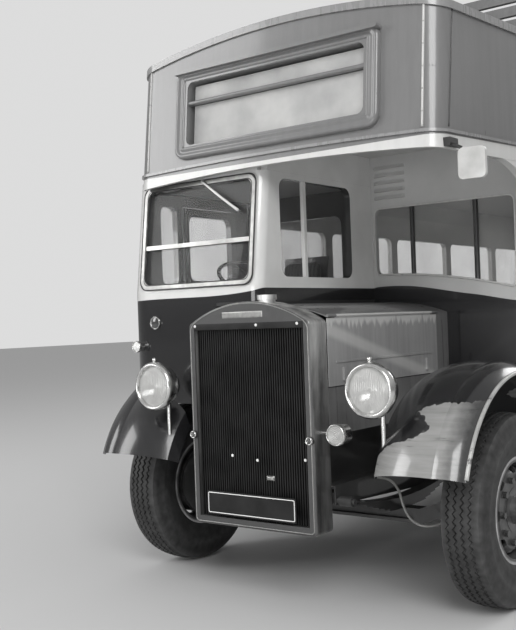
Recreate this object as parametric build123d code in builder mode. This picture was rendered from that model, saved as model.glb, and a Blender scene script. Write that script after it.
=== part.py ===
from build123d import *
import os
from math import cos, radians, sin, sqrt

os.makedirs("parts", exist_ok=True)

# A front-engined half-cab double decker bus with an open top deck.
# The bus faces -Y. Its nearside, with the platform, is at +X.
# The driver's cab is at -X. Z is up from the road.

# Driving sizes, in millimetres
overall_length = 8230
body_width = 2438
rear_overhang = 2461
tyre_diameter = 1016
mirror_reach = 1310
nose_reach = 290
cab_length = 1270
front_axle_back = 475
wall = 45
sheet = 4
play = 5
seat_gap = 0.3
moulding_proud = 12

# Heights above the road
floor_top = 790
deck_top = 2640
canopy_height = 2440
side_cap = 3060
front_cap = 3235
skirt_height = 430
platform_top = 370
cab_floor_top = 1090
bonnet_edge = 1556
bonnet_crown = 1632

# Thickness of the upper deck's floor, and the height of its underside
deck_thickness = 40
ceiling = deck_top - deck_thickness

# Places along the bus
front_y = -overall_length / 2
rear_y = overall_length / 2
cab_y = front_y + nose_reach
bulkhead_y = cab_y + cab_length
front_axle_y = cab_y + front_axle_back
rear_axle_y = rear_y - rear_overhang
platform_depth = 1250
platform_y = rear_y - moulding_proud - platform_depth
half_body = body_width / 2
body_back = rear_y - moulding_proud

# Running gear
wheel_centre = tyre_diameter / 2
tyre_radius = tyre_diameter / 2
tyre_half = 120
tread_half = 100
rim_radius = 279
rim_half = 92
front_track_half = 1080
kingpin_x = 925
kingpin_radius = 22
pin_play = 0.05
rear_outer_x = 1064
twin_spacing = 270
hub_radius = 95
stub_radius = 35
drum_radius = 205
drum_width = 110

# Chassis frame
rail_x = 400
rail_width = 70
rail_web = 8
frame_top = 690
spring_x = 490
spring_width = 76

# Radiator and bonnet
radiator_width = 824
radiator_bottom = 428
radiator_shoulder = 1530
radiator_crown = 1648
radiator_depth = 150
radiator_rim = 42
radiator_face = front_y + 18
bonnet_half = 412
bonnet_back = cab_y + 1110
lid_drop = 360

# Deck walls
front_lean = 78
screen_lean = 85
front_radius_low = 110
front_radius_high = 140
rear_radius = 220
side_taper = 0.149
taper_radius = 600
cab_radius = 250
cab_inner_x = -117
upper_inset = 12
tuck_start = 1180
tuck = 34
screen_foot = 1740


def plan_outline(height, front, back, half, front_radius, rear_radius):
    """Plan of a deck at one height. Its sides draw in ahead of the bulkhead."""
    narrow = half - (bulkhead_y - front) * side_taper
    corners = (
        (narrow, front),
        (half, bulkhead_y),
        (half, back),
        (-half, back),
        (-half, bulkhead_y),
        (-narrow, front),
    )
    radii = (front_radius, taper_radius, rear_radius, rear_radius, taper_radius, front_radius)
    with BuildSketch(Plane.XY.offset(height)) as plan:
        with BuildLine():
            FilletPolyline(*corners, radius=radii, close=True)
        make_face()
    return plan.sketch


def upper_body(outward, low=canopy_height, high=front_cap + 60):
    """The upper deck as a solid, its faces moved out by a distance."""
    rise = front_cap - canopy_height
    sections = []
    for height in (low, high):
        share = (height - canopy_height) / rise
        radius = front_radius_low + share * (front_radius_high - front_radius_low)
        sections.append(
            plan_outline(
                height,
                cab_y + share * front_lean - outward,
                body_back + outward,
                half_body - share * upper_inset + outward,
                radius + outward,
                rear_radius + outward,
            )
        )
    return loft(sections, ruled=True, mode=Mode.PRIVATE)


def tuck_at(height):
    """How far the skirt has drawn in at a height."""
    if height >= tuck_start:
        return 0
    return tuck * (tuck_start - height) / (tuck_start - skirt_height)


def lower_body(outward, low=skirt_height, high=canopy_height):
    """The lower saloon and platform as a solid, tucked in below the waist."""
    heights = [low, high]
    if low < tuck_start < high:
        heights = [low, tuck_start, high]
    sections = []
    for height in heights:
        inset = tuck_at(height)
        sections.append(
            plan_outline(
                height,
                cab_y - rear_radius,
                body_back - inset + outward,
                half_body - inset + outward,
                rear_radius,
                rear_radius + outward,
            )
        )
    return loft(sections, ruled=True, mode=Mode.PRIVATE)


def cab_body(outward, low=cab_floor_top - 40, high=canopy_height):
    """The driver's cab as a solid, its screen leaning back above the waist."""
    breaks = [height for height in (tuck_start, screen_foot) if low < height < high]
    sections = []
    for height in [low, *breaks, high]:
        lean = 0
        if height > screen_foot:
            lean = screen_lean * (height - screen_foot) / (canopy_height - screen_foot)
        front = cab_y + lean - outward
        back = bulkhead_y + 300
        inset = tuck_at(height)
        corners = (
            (cab_inner_x + outward, front),
            (cab_inner_x + outward, back),
            (-half_body - outward + inset, back),
            (-half_body - outward + inset, front),
        )
        radii = (70 + outward, 10, 10, cab_radius + outward)
        with BuildSketch(Plane.XY.offset(height)) as plan:
            with BuildLine():
                FilletPolyline(*corners, radius=radii, close=True)
            make_face()
        sections.append(plan.sketch)
    return loft(sections, ruled=True, mode=Mode.PRIVATE)


def below_arch(crown, drop):
    """Everything below an arch across the bus that drops a set amount at the sides."""
    reach = half_body + 60
    with BuildPart(mode=Mode.PRIVATE) as below:
        with BuildSketch(Plane.XZ.offset(-rear_y - 100)):
            with BuildLine():
                Line((-reach, 2000), (reach, 2000))
                Line((reach, 2000), (reach, crown - drop))
                ThreePointArc((reach, crown - drop), (0, crown), (-reach, crown - drop))
                Line((-reach, crown - drop), (-reach, 2000))
            make_face()
        extrude(amount=overall_length + 400)
    return below.part


def under_arch(raised):
    """Everything below the crowned top edge of the upper deck."""
    return below_arch(front_cap + raised, front_cap - side_cap)


# The steel frame: two channel side members, dropped amidships and arched over
# the rear axle, with tubular and channel cross members.
frame_front = radiator_face + radiator_depth + seat_gap
frame_back = platform_y + 900
# Columns: place along the bus, underside and top of the side member
rail_profile = (
    (frame_front, 570, 670),
    (bulkhead_y - 300, 520, frame_top),
    (bulkhead_y + 500, 490, frame_top),
    (rear_axle_y - 760, 490, frame_top),
    (rear_axle_y - 420, 640, 750),
    (rear_axle_y + 420, 640, 750),
    (rear_axle_y + 760, 540, frame_top),
    (platform_y - 120, 500, 600),
    (platform_y + 20, 230, 330),
    (frame_back, 240, 330),
)
# Columns: place along the bus, height of the tube's centre
cross_tubes = (
    (bulkhead_y + 400, 650),
    (-300, 650),
    (rear_axle_y - 800, 650),
    (rear_axle_y + 800, 620),
    (frame_back - 60, 280),
)
tow_plate = 40
tow_hole = 20
tow_y = frame_back + 110
with BuildPart() as chassis_frame:
    for side in (1, -1):
        with BuildSketch(Plane.YZ.offset(side * rail_x - rail_width / 2)):
            with BuildLine():
                lower = [(y, low) for y, low, high in rail_profile]
                upper = [(y, high) for y, low, high in reversed(rail_profile)]
                Polyline(*lower, *upper, close=True)
            make_face()
        extrude(amount=rail_width)
        inner_side = Plane.YZ.offset(side * rail_x - rail_width / 2 - side * rail_web)
        with BuildSketch(inner_side):
            with BuildLine():
                lower = [(y, low + rail_web) for y, low, high in rail_profile]
                upper = [(y, high - rail_web) for y, low, high in reversed(rail_profile)]
                lower[0] = (frame_front - 10, lower[0][1])
                upper[-1] = (frame_front - 10, upper[-1][1])
                lower[-1] = (frame_back + 10, lower[-1][1])
                upper[0] = (frame_back + 10, upper[0][1])
                Polyline(*lower, *upper, close=True)
            make_face()
        extrude(amount=rail_width, mode=Mode.SUBTRACT)
    for y, z in cross_tubes:
        with Locations((0, y, z)):
            Cylinder(38, 2 * rail_x + rail_width - 2 * rail_web, rotation=(0, 90, 0))
    # Front cross member, under the engine's nose, and the engine bearers
    bearer_span = 2 * rail_x + rail_width - 2 * rail_web
    for y, z in ((cab_y - 60, 600), (cab_y + 900, 600)):
        with Locations((0, y, z)):
            Box(bearer_span, 90, 60)
    # Outriggers that carry the floor and the skirt panels
    outrigger_span = half_body - wall - rail_x - rail_width / 2 - 26
    for y in (bulkhead_y + 180, bulkhead_y + 1250, -100, rear_axle_y + 770):
        for side in (1, -1):
            middle = rail_x + rail_width / 2 + outrigger_span / 2
            with Locations((side * middle, y, floor_top - 35 - 60)):
                Box(outrigger_span, 60, 120)
    # Towing eyes: a plate with a cross hole at the back end of each side member
    for side in (1, -1):
        with Locations((side * rail_x, tow_y - 60, (240 + 330) / 2)):
            Box(tow_plate, 240, 90)
        with Locations((side * rail_x, tow_y, (240 + 330) / 2)):
            Cylinder(tow_hole, 2 * tow_plate, rotation=(0, 90, 0), mode=Mode.SUBTRACT)
chassis_frame.part.label = "chassis_frame"
export_step(chassis_frame.part, "parts/chassis_frame.step")

# Front axle: a dropped I-section beam with an eye for each kingpin.
beam_top = 470
beam_height = 80
beam_depth = 84
eye_radius = 46
eye_height = 110
with BuildPart() as front_axle_beam:
    with BuildSketch(Plane.XZ.offset(-front_axle_y)):
        with BuildLine():
            drop = 60
            reach = kingpin_x - 20
            Polyline(
                (-reach, wheel_centre + 34),
                (-reach + 90, wheel_centre + 34),
                (-spring_x - 130, beam_top),
                (spring_x + 130, beam_top),
                (reach - 90, wheel_centre + 34),
                (reach, wheel_centre + 34),
                (reach, wheel_centre - 34),
                (reach - 60, wheel_centre - 40),
                (spring_x + 150, beam_top - beam_height),
                (-spring_x - 150, beam_top - beam_height),
                (-reach + 60, wheel_centre - 40),
                (-reach, wheel_centre - 34),
                close=True,
            )
        make_face()
    extrude(amount=beam_depth / 2, both=True)
    for side in (1, -1):
        with Locations((side * kingpin_x, front_axle_y, wheel_centre)):
            Cylinder(eye_radius, eye_height)
            Cylinder(kingpin_radius + pin_play, eye_height + 2, mode=Mode.SUBTRACT)
    for face in (1, -1):
        with Locations((0, front_axle_y + face * (beam_depth / 2 - 12), beam_top - beam_height / 2)):
            Box(2 * (spring_x + 90), 30, beam_height - 34, mode=Mode.SUBTRACT)
front_axle_beam.part.label = "front_axle_beam"
export_step(front_axle_beam.part, "parts/front_axle_beam.step")

# Steering knuckles: a kingpin held by a fork, a stub axle for the wheel,
# and the fixed back plate of the brake.
plate_x = kingpin_x + 70
stub_end = front_track_half + 92
arm_length = 190
rod_height = wheel_centre - eye_height / 2 - 21
rod_pin_radius = 12
for side, name in ((1, "nearside"), (-1, "offside")):
    along_axle = Plane((0, front_axle_y, wheel_centre), x_dir=(0, side, 0), z_dir=(side, 0, 0))
    with BuildPart() as knuckle:
        with Locations((side * kingpin_x, front_axle_y, wheel_centre)):
            Cylinder(kingpin_radius, eye_height + 80)
        for level in (1, -1):
            height = wheel_centre + level * (eye_height / 2 + 21)
            with Locations((side * (kingpin_x + 15), front_axle_y, height)):
                Box(110, 80, 40)
        with Locations((side * (kingpin_x + 62), front_axle_y, wheel_centre)):
            Box(16, 80, eye_height + 82)
        with BuildSketch(along_axle.offset(plate_x)):
            Circle(drum_radius - 6)
        extrude(amount=6)
        with BuildSketch(along_axle.offset(plate_x)):
            Circle(stub_radius)
        extrude(amount=stub_end - plate_x)
        # Steering arm, reaching straight back to the track rod
        with Locations((side * kingpin_x, front_axle_y + arm_length / 2, rod_height)):
            Box(44, arm_length + 44, 24)
        with Locations((side * kingpin_x, front_axle_y + arm_length, rod_height - 26)):
            Cylinder(rod_pin_radius, 60)
    knuckle.part.label = f"knuckle_{name}"
    export_step(knuckle.part, f"parts/knuckle_{name}.step")

# Track rod, behind the beam, on a pin under each steering arm
rod_eye = 34
rod_level = rod_height - 12 - 2 - rod_eye / 2
with BuildPart() as track_rod:
    with Locations((0, front_axle_y + arm_length, rod_level)):
        Cylinder(15, 2 * kingpin_x - 40, rotation=(0, 90, 0))
    for side in (1, -1):
        with Locations((side * kingpin_x, front_axle_y + arm_length, rod_level)):
            Cylinder(30, rod_eye)
            Cylinder(rod_pin_radius + pin_play, 40, mode=Mode.SUBTRACT)
track_rod.part.label = "track_rod"
export_step(track_rod.part, "parts/track_rod.step")

# Rear axle: a tapered casing with the final drive bowl, and the back plates.
casing_radius = 72
gearbox_back = cab_y + 1530
bowl_radius = 178
rear_stub_end = rear_outer_x + 60
with BuildPart() as rear_axle:
    with BuildSketch(Plane.YZ.offset(-640)):
        with Locations((rear_axle_y, wheel_centre)):
            Circle(casing_radius)
    extrude(amount=1280)
    with Locations((-60, rear_axle_y, wheel_centre)):
        Sphere(bowl_radius)
    with Locations((-60, rear_axle_y - bowl_radius - 30, wheel_centre)):
        Cylinder(70, 150, rotation=(90, 0, 0))
    for side in (1, -1):
        axle_line = Plane((0, rear_axle_y, wheel_centre), x_dir=(0, side, 0), z_dir=(side, 0, 0))
        with BuildSketch(axle_line.offset(640)):
            Circle(drum_radius - 6)
        extrude(amount=8)
        with BuildSketch(axle_line.offset(640)):
            Circle(stub_radius + 20)
        extrude(amount=rear_stub_end - 640)
    # Propeller shaft, from just behind the gearbox to the final drive
    with BuildLine() as shaft_line:
        Line((0, gearbox_back + 1.5, 560), (-60, rear_axle_y - bowl_radius - 80, wheel_centre))
    with BuildSketch(shaft_line.line ^ 0):
        Circle(46)
    sweep()
rear_axle.part.label = "rear_axle"
export_step(rear_axle.part, "parts/rear_axle.step")

# Wheels and tyres. Both are turned about the axle line.
bead_radius = 262
# Columns: distance out from the wheel's middle, radius
rim_profile = (
    (-rim_half, rim_radius),
    (-rim_half + 8, rim_radius),
    (-rim_half + 8, bead_radius - seat_gap),
    (-40, bead_radius - seat_gap),
    (-34, 250),
    (34, 250),
    (40, bead_radius - seat_gap),
    (rim_half - 8, bead_radius - seat_gap),
    (rim_half - 8, rim_radius),
    (rim_half, rim_radius),
    (rim_half, 252),
    (36, 238),
    (-36, 238),
    (-rim_half, 252),
)


def tyre_section(middle):
    """Half section of a bias-ply tyre, open inside, that sits on its rim."""
    flange = rim_half + 0.6
    with BuildLine() as outline:
        Polyline(
            (middle - 66, bead_radius),
            (middle - rim_half + 8 + seat_gap, bead_radius),
            (middle - rim_half + 8 + seat_gap, rim_radius + seat_gap),
            (middle - flange, rim_radius + seat_gap),
        )
        ThreePointArc(
            (middle - flange, rim_radius + seat_gap),
            (middle - tyre_half, 392),
            (middle - tread_half, tyre_radius - 14),
        )
        ThreePointArc(
            (middle - tread_half, tyre_radius - 14),
            (middle, tyre_radius),
            (middle + tread_half, tyre_radius - 14),
        )
        ThreePointArc(
            (middle + tread_half, tyre_radius - 14),
            (middle + tyre_half, 392),
            (middle + flange, rim_radius + seat_gap),
        )
        Polyline(
            (middle + flange, rim_radius + seat_gap),
            (middle + rim_half - 8 - seat_gap, rim_radius + seat_gap),
            (middle + rim_half - 8 - seat_gap, bead_radius),
            (middle + 66, bead_radius),
        )
        ThreePointArc(
            (middle + 66, bead_radius),
            (middle + tyre_half - 20, 392),
            (middle + tread_half - 22, tyre_radius - 34),
        )
        Line(
            (middle + tread_half - 22, tyre_radius - 34),
            (middle - tread_half + 22, tyre_radius - 34),
        )
        ThreePointArc(
            (middle - tread_half + 22, tyre_radius - 34),
            (middle - tyre_half + 20, 392),
            (middle - 66, bead_radius),
        )
    return make_face(outline.line)


stud_circle = 167.5
stud_count = 10
for side, name in ((1, "nearside"), (-1, "offside")):
    axle = Axis((0, front_axle_y, wheel_centre), (1, 0, 0))
    section = Plane((0, front_axle_y, wheel_centre), x_dir=(side, 0, 0), z_dir=(0, -side, 0))
    wheel_plane = Plane((0, front_axle_y, wheel_centre), x_dir=(0, side, 0), z_dir=(side, 0, 0))
    with BuildPart() as tyre:
        with BuildSketch(section):
            add(tyre_section(front_track_half))
        revolve(axis=axle)
    tyre.part.label = f"front_tyre_{name}"
    export_step(tyre.part, f"parts/front_tyre_{name}.step")

    disc_x = front_track_half + 78
    with BuildPart() as wheel:
        with BuildSketch(section):
            with BuildLine():
                Polyline(*[(front_track_half + out, radius) for out, radius in rim_profile], close=True)
            make_face()
            # The dished disc, from the rim's well out to the flat round the studs
            with BuildLine():
                Polyline(
                    (front_track_half + 20, 239),
                    (disc_x - 22, 222),
                    (disc_x, 200),
                    (disc_x, stud_circle - 60),
                    (disc_x - 12, stud_circle - 60),
                    (disc_x - 12, 194),
                    (disc_x - 36, 214),
                    (front_track_half + 6, 239),
                    close=True,
                )
            make_face()
            # The hub and its cap
            with BuildLine():
                Polyline(
                    (plate_x + 30, stub_radius + pin_play),
                    (plate_x + 30, hub_radius),
                    (disc_x - 12, hub_radius),
                    (disc_x - 12, stud_circle - 50),
                    (disc_x + 2, stud_circle - 50),
                    (disc_x + 2, 74),
                    (disc_x + 34, 68),
                    (disc_x + 38, 0),
                    (stub_end + 3, 0),
                    (stub_end + 3, stub_radius + pin_play),
                    close=True,
                )
            make_face()
            # The brake drum
            with BuildLine():
                Polyline(
                    (plate_x + 12, drum_radius),
                    (plate_x + 12, drum_radius - 14),
                    (plate_x + 100, drum_radius - 14),
                    (plate_x + 100, hub_radius - 10),
                    (plate_x + 112, hub_radius - 10),
                    (plate_x + 112, drum_radius),
                    close=True,
                )
            make_face()
        revolve(axis=axle)
        # Hand holes round the disc
        with BuildSketch(wheel_plane.offset(disc_x - 60)):
            with PolarLocations(210, 8):
                SlotOverall(58, 34, rotation=90)
        extrude(amount=80, mode=Mode.SUBTRACT)
        # Wheel studs with their nuts
        with BuildSketch(wheel_plane.offset(disc_x - 2)):
            with PolarLocations(stud_circle, stud_count):
                RegularPolygon(18, 6)
        extrude(amount=22)
    wheel.part.label = f"front_wheel_{name}"
    export_step(wheel.part, f"parts/front_wheel_{name}.step")

    axle = Axis((0, rear_axle_y, wheel_centre), (1, 0, 0))
    section = Plane((0, rear_axle_y, wheel_centre), x_dir=(side, 0, 0), z_dir=(0, -side, 0))
    wheel_plane = Plane((0, rear_axle_y, wheel_centre), x_dir=(0, side, 0), z_dir=(side, 0, 0))
    with BuildPart() as twin_tyres:
        for middle in (rear_outer_x, rear_outer_x - twin_spacing):
            with BuildSketch(section):
                add(tyre_section(middle))
            revolve(axis=axle)
    twin_tyres.part.label = f"rear_tyres_{name}"
    export_step(twin_tyres.part, f"parts/rear_tyres_{name}.step")

    dish_x = rear_outer_x - twin_spacing / 2
    with BuildPart() as twin_wheels:
        with BuildSketch(section):
            for middle, turn in ((rear_outer_x, 1), (rear_outer_x - twin_spacing, -1)):
                with BuildLine():
                    Polyline(*[(middle + out, radius) for out, radius in rim_profile], close=True)
                make_face()
                # The disc, dished towards its twin
                with BuildLine():
                    Polyline(
                        (middle + turn * 8, 239),
                        (dish_x + turn * 26, 216),
                        (dish_x + turn * 12, 196),
                        (dish_x + turn * 12, 100),
                        (dish_x, 100),
                        (dish_x, 206),
                        (dish_x + turn * 12, 226),
                        (middle - turn * 8, 239),
                        close=True,
                    )
                make_face()
            # The hub and its cap
            with BuildLine():
                Polyline(
                    (680, stub_radius + 20 + pin_play),
                    (680, hub_radius + 15),
                    (dish_x + 90, hub_radius + 15),
                    (dish_x + 150, hub_radius - 5),
                    (rear_stub_end + 20, hub_radius - 15),
                    (rear_stub_end + 24, 0),
                    (rear_stub_end + 3, 0),
                    (rear_stub_end + 3, stub_radius + 20 + pin_play),
                    close=True,
                )
            make_face()
            # The brake drum
            with BuildLine():
                Polyline(
                    (656, drum_radius),
                    (656, drum_radius - 14),
                    (656 + drum_width, drum_radius - 14),
                    (656 + drum_width, hub_radius),
                    (656 + drum_width + 14, hub_radius),
                    (656 + drum_width + 14, drum_radius),
                    close=True,
                )
            make_face()
        revolve(axis=axle)
        with BuildSketch(wheel_plane.offset(dish_x + 10)):
            with PolarLocations(stud_circle, stud_count):
                RegularPolygon(18, 6)
        extrude(amount=26)
    twin_wheels.part.label = f"rear_wheels_{name}"
    export_step(twin_wheels.part, f"parts/rear_wheels_{name}.step")

# Leaf springs, front and rear, with the pins that hang them on the frame.
leaf_thickness = 9


def leaf_pack(middle_y, seat_height, half_length, camber, leaves):
    """Side view of a stack of leaves that bend up towards their ends."""
    bend = half_length**2 / (2 * camber)
    top = seat_height + leaves * leaf_thickness
    centre = (middle_y, top + bend)
    with BuildSketch(Plane.YZ, mode=Mode.PRIVATE) as pack:
        for leaf in range(leaves):
            reach = half_length * (1 - 0.75 * leaf / leaves)
            outer = bend + (leaf + 1) * leaf_thickness
            inner = bend + leaf * leaf_thickness
            turn = reach / bend
            ends = []
            for radius in (inner, outer):
                for angle in (-turn, 0, turn):
                    y = centre[0] + radius * sin(angle)
                    z = centre[1] - radius * cos(angle)
                    ends.append((y, z))
            with BuildLine():
                ThreePointArc(ends[0], ends[1], ends[2])
                Line(ends[2], ends[5])
                ThreePointArc(ends[5], ends[4], ends[3])
                Line(ends[3], ends[0])
            make_face()
    return pack.sketch


# Columns: axle's place, seat's height, half length, camber, leaves
spring_sets = (
    (front_axle_y, beam_top, 560, 62, 7),
    (rear_axle_y, wheel_centre + casing_radius, 650, 40, 7),
)
rail_face = rail_x + rail_width / 2
with BuildPart() as leaf_springs:
    for middle_y, seat, half_length, camber, leaves in spring_sets:
        pin_height = seat + leaves * leaf_thickness + camber - 4
        for side in (1, -1):
            pack = leaf_pack(middle_y, seat, half_length, camber, leaves)
            pack_plane = side * spring_x - spring_width / 2
            extrude(pack.moved(Location((pack_plane, 0, 0))), amount=spring_width)
            for end in (1, -1):
                eye_y = middle_y + end * (half_length + 14)
                eye_x = side * (rail_face + spring_x + spring_width / 2 + 12) / 2
                with Locations((eye_x, eye_y, pin_height)):
                    Cylinder(17, spring_x + spring_width / 2 + 12 - rail_face, rotation=(0, 90, 0))
                with Locations((side * spring_x, eye_y, pin_height)):
                    Cylinder(27, spring_width, rotation=(0, 90, 0))
leaf_springs.part.label = "leaf_springs"
export_step(leaf_springs.part, "parts/leaf_springs.step")

# Engine, flywheel housing and gearbox: one heavy block on two bearers.
engine_seat = 630
with BuildPart() as engine:
    with Locations((0, cab_y + 440, engine_seat + 240)):
        Box(500, 1010, 480)
    with Locations((0, cab_y + 440, engine_seat + 480 + 150)):
        Box(330, 960, 300)
    with Locations((0, cab_y + 430, engine_seat - 60)):
        Box(300, 800, 120)
    with Locations((0, cab_y + 1030, engine_seat + 70)):
        Cylinder(250, 170, rotation=(90, 0, 0))
    with Locations((0, gearbox_back - 230, 610)):
        Box(330, 460, 250)
engine.part.label = "engine"
export_step(engine.part, "parts/engine.step")

# Fuel tank, slung between two outriggers on the offside
tank_front = bulkhead_y + 1250 + 30
tank_back = -100 - 30
with BuildPart() as fuel_tank:
    with Locations((-800, (tank_front + tank_back) / 2, 600)):
        Box(560, tank_back - tank_front, 290)
    fillet(fuel_tank.edges().filter_by(Axis.Y), 70)
fuel_tank.part.label = "fuel_tank"
export_step(fuel_tank.part, "parts/fuel_tank.step")

# Upper deck walls: front with both round corners, two sides and the back.
stair_y = platform_y + 60
upper_outer = upper_body(0)
upper_inner = upper_body(-wall)
upper_shell = (upper_outer - upper_inner) & under_arch(0)
box_half = 700
box_low = 2522
box_high = 3058
box_depth = 110
box_room = cab_y + box_depth + 15
blind_half = 625
blind_low = 2588
blind_high = 2990
front_slope = (front_cap - canopy_height) / sqrt(front_lean**2 + (front_cap - canopy_height) ** 2)
front_tilt = front_lean / sqrt(front_lean**2 + (front_cap - canopy_height) ** 2)
front_face = Plane((0, cab_y, canopy_height), x_dir=(1, 0, 0), z_dir=(0, -front_slope, front_tilt))
side_start = cab_y + 700
side_end = body_back - rear_radius - 40
# Columns: name, front y, back y
upper_pieces = (
    ("upper_front", cab_y - 200, side_start),
    ("upper_sides", side_start, side_end),
    ("upper_back", side_end, rear_y + 100),
)
for name, y_low, y_high in upper_pieces:
    with BuildPart() as panel:
        add(upper_shell)
        with Locations((0, (y_low + y_high) / 2, 2800)):
            Box(2 * body_width, y_high - y_low, 1600, mode=Mode.INTERSECT)
        if name == "upper_front":
            with BuildSketch(front_face.offset(60)):
                with Locations((0, (blind_low + blind_high) / 2 - canopy_height)):
                    RectangleRounded(2 * blind_half, blind_high - blind_low, 50)
            extrude(amount=-200, mode=Mode.SUBTRACT)
    panel.part.label = name
    export_step(panel.part, f"parts/{name}.step")

# Mouldings: the capping on the walls' top edge, the belt round the foot of the
# upper deck, and the waist rail along the lower saloon
belt_crown = 2488
belt_height = 16
belt_drop = 33
rail_low = 1478
rail_high = 1502
back_edge = 430
with BuildPart() as mouldings:
    add((upper_body(moulding_proud) - upper_body(-wall - 8)) & under_arch(10))
    add(under_arch(-32), mode=Mode.SUBTRACT)
    add(upper_shell, mode=Mode.SUBTRACT)
    belt_ring = upper_body(moulding_proud, canopy_height - 40, belt_crown + 20)
    belt_ring -= upper_body(seat_gap, canopy_height - 40, belt_crown + 20)
    add((belt_ring & below_arch(belt_crown, belt_drop)) - below_arch(belt_crown - belt_height, belt_drop))
    waist_ring = lower_body(moulding_proud, rail_low, rail_high) - lower_body(seat_gap, rail_low, rail_high)
    ring_front = Box(3000, 4000, 100, mode=Mode.PRIVATE)
    waist_ring -= ring_front.moved(Location((0, bulkhead_y - 2000, rail_low)))
    waist_ring -= ring_front.moved(Location((back_edge + 1500, platform_y + 2000, rail_low)))
    add(waist_ring)
mouldings.part.label = "mouldings"
export_step(mouldings.part, "parts/mouldings.step")

# Lower saloon walls: two sides and the back, with window openings and arches.
# On the nearside a quarter panel sweeps forward from the front pillar.
lower_shell = lower_body(0) - lower_body(-wall)
fascia_crown = 2415
fascia_drop = 68
quarter_top = fascia_crown - fascia_drop + 20
quarter_start = 520
quarter_radius = 420
upright_y = cab_y + quarter_start + quarter_radius
wing_room = 775
with BuildPart(mode=Mode.PRIVATE) as quarter:
    with BuildSketch(Plane.YZ.offset(half_body - 6 * wall)):
        with BuildLine():
            Polyline(
                (cab_y + quarter_start, quarter_top),
                (bulkhead_y + 2, quarter_top),
                (bulkhead_y + 2, skirt_height),
                (upright_y, skirt_height),
                (upright_y, quarter_top - quarter_radius),
            )
            RadiusArc(
                (upright_y, quarter_top - quarter_radius),
                (cab_y + quarter_start, quarter_top),
                -quarter_radius,
            )
        make_face()
    extrude(amount=8 * wall)
    with Locations((half_body, front_axle_y, wheel_centre)):
        Cylinder(wing_room, 8 * wall, rotation=(0, 90, 0), mode=Mode.SUBTRACT)
    add(lower_shell, mode=Mode.INTERSECT)
    add(below_arch(fascia_crown - seat_gap, fascia_drop), mode=Mode.INTERSECT)
bay_count = 5
bay_pitch = (platform_y - bulkhead_y) / bay_count
window_low = 1530
window_high = 2240
window_gap = 100
window_height = window_high - window_low
window_middle = (window_high + window_low) / 2
arch_radius = 570
for side, name in ((1, "nearside"), (-1, "offside")):
    back_end = platform_y if side == 1 else side_end
    with BuildPart() as panel:
        add(lower_shell)
        with Locations((side * 1100, (bulkhead_y + back_end) / 2, 1500)):
            Box(600, back_end - bulkhead_y, 2400, mode=Mode.INTERSECT)
        with BuildSketch(Plane.YZ.offset(side * 900)):
            for bay in range(bay_count):
                with Locations((bulkhead_y + (bay + 0.5) * bay_pitch, window_middle)):
                    RectangleRounded(bay_pitch - window_gap, window_height, 60)
        extrude(amount=side * 400, mode=Mode.SUBTRACT)
        with Locations((side * 1150, rear_axle_y, wheel_centre)):
            Cylinder(arch_radius, 300, rotation=(0, 90, 0), mode=Mode.SUBTRACT)
        with Locations((side * 1150, rear_axle_y, (skirt_height + wheel_centre) / 2 - 100)):
            Box(300, 2 * arch_radius, wheel_centre - skirt_height + 200, mode=Mode.SUBTRACT)
        if side == 1:
            add(quarter.part)
    panel.part.label = f"lower_side_{name}"
    export_step(panel.part, f"parts/lower_side_{name}.step")

back_low = platform_top - 40
back_window_half = 330
back_window_x = -200
with BuildPart() as lower_back:
    add(lower_body(0, back_low) - lower_body(-wall, back_low))
    with Locations(((back_edge - 1400) / 2, (side_end + rear_y + 100) / 2, 1500)):
        Box(back_edge + 1400, rear_y + 100 - side_end, 2600, mode=Mode.INTERSECT)
    with BuildSketch(Plane.XZ.offset(-rear_y + 200)):
        with Locations((back_window_x + 200, window_middle)):
            RectangleRounded(2 * back_window_half, window_height - 60, 70)
    extrude(amount=-400, mode=Mode.SUBTRACT)
lower_back.part.label = "lower_back"
export_step(lower_back.part, "parts/lower_back.step")

# Floor of the lower saloon with its two wheel boxes
floor_thickness = 35
box_top = 1096
box_inner = 630
box_reach = 620
box_wall = 16
inner_wall_x = half_body - wall - 20
with BuildPart() as lower_floor:
    with Locations((0, (bulkhead_y + wall + platform_y) / 2, floor_top - floor_thickness / 2)):
        Box(2 * inner_wall_x, platform_y - bulkhead_y - wall - 2 * seat_gap, floor_thickness)
    # Each wheel box stands in a cut-out of the floor
    for side in (1, -1):
        middle = side * (box_inner + inner_wall_x) / 2
        low = floor_top - floor_thickness
        cut_start = box_inner - seat_gap
        cut_end = inner_wall_x + play
        with Locations((side * (cut_start + cut_end) / 2, rear_axle_y, floor_top - floor_thickness / 2)):
            Box(
                cut_end - cut_start,
                2 * box_reach + 2 * seat_gap,
                2 * floor_thickness,
                mode=Mode.SUBTRACT,
            )
        with Locations((middle, rear_axle_y, (low + box_top) / 2)):
            Box(inner_wall_x - box_inner, 2 * box_reach, box_top - low)
        with Locations((middle + side * box_wall / 2, rear_axle_y, (low + box_top - box_wall) / 2)):
            Box(
                inner_wall_x - box_inner - box_wall,
                2 * box_reach - 2 * box_wall,
                box_top - box_wall - low,
                mode=Mode.SUBTRACT,
            )
        with Locations((side * inner_wall_x, rear_axle_y, low)):
            Box(80, 2 * box_reach - 2 * box_wall, 200, mode=Mode.SUBTRACT)
lower_floor.part.label = "lower_floor"
export_step(lower_floor.part, "parts/lower_floor.step")

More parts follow.
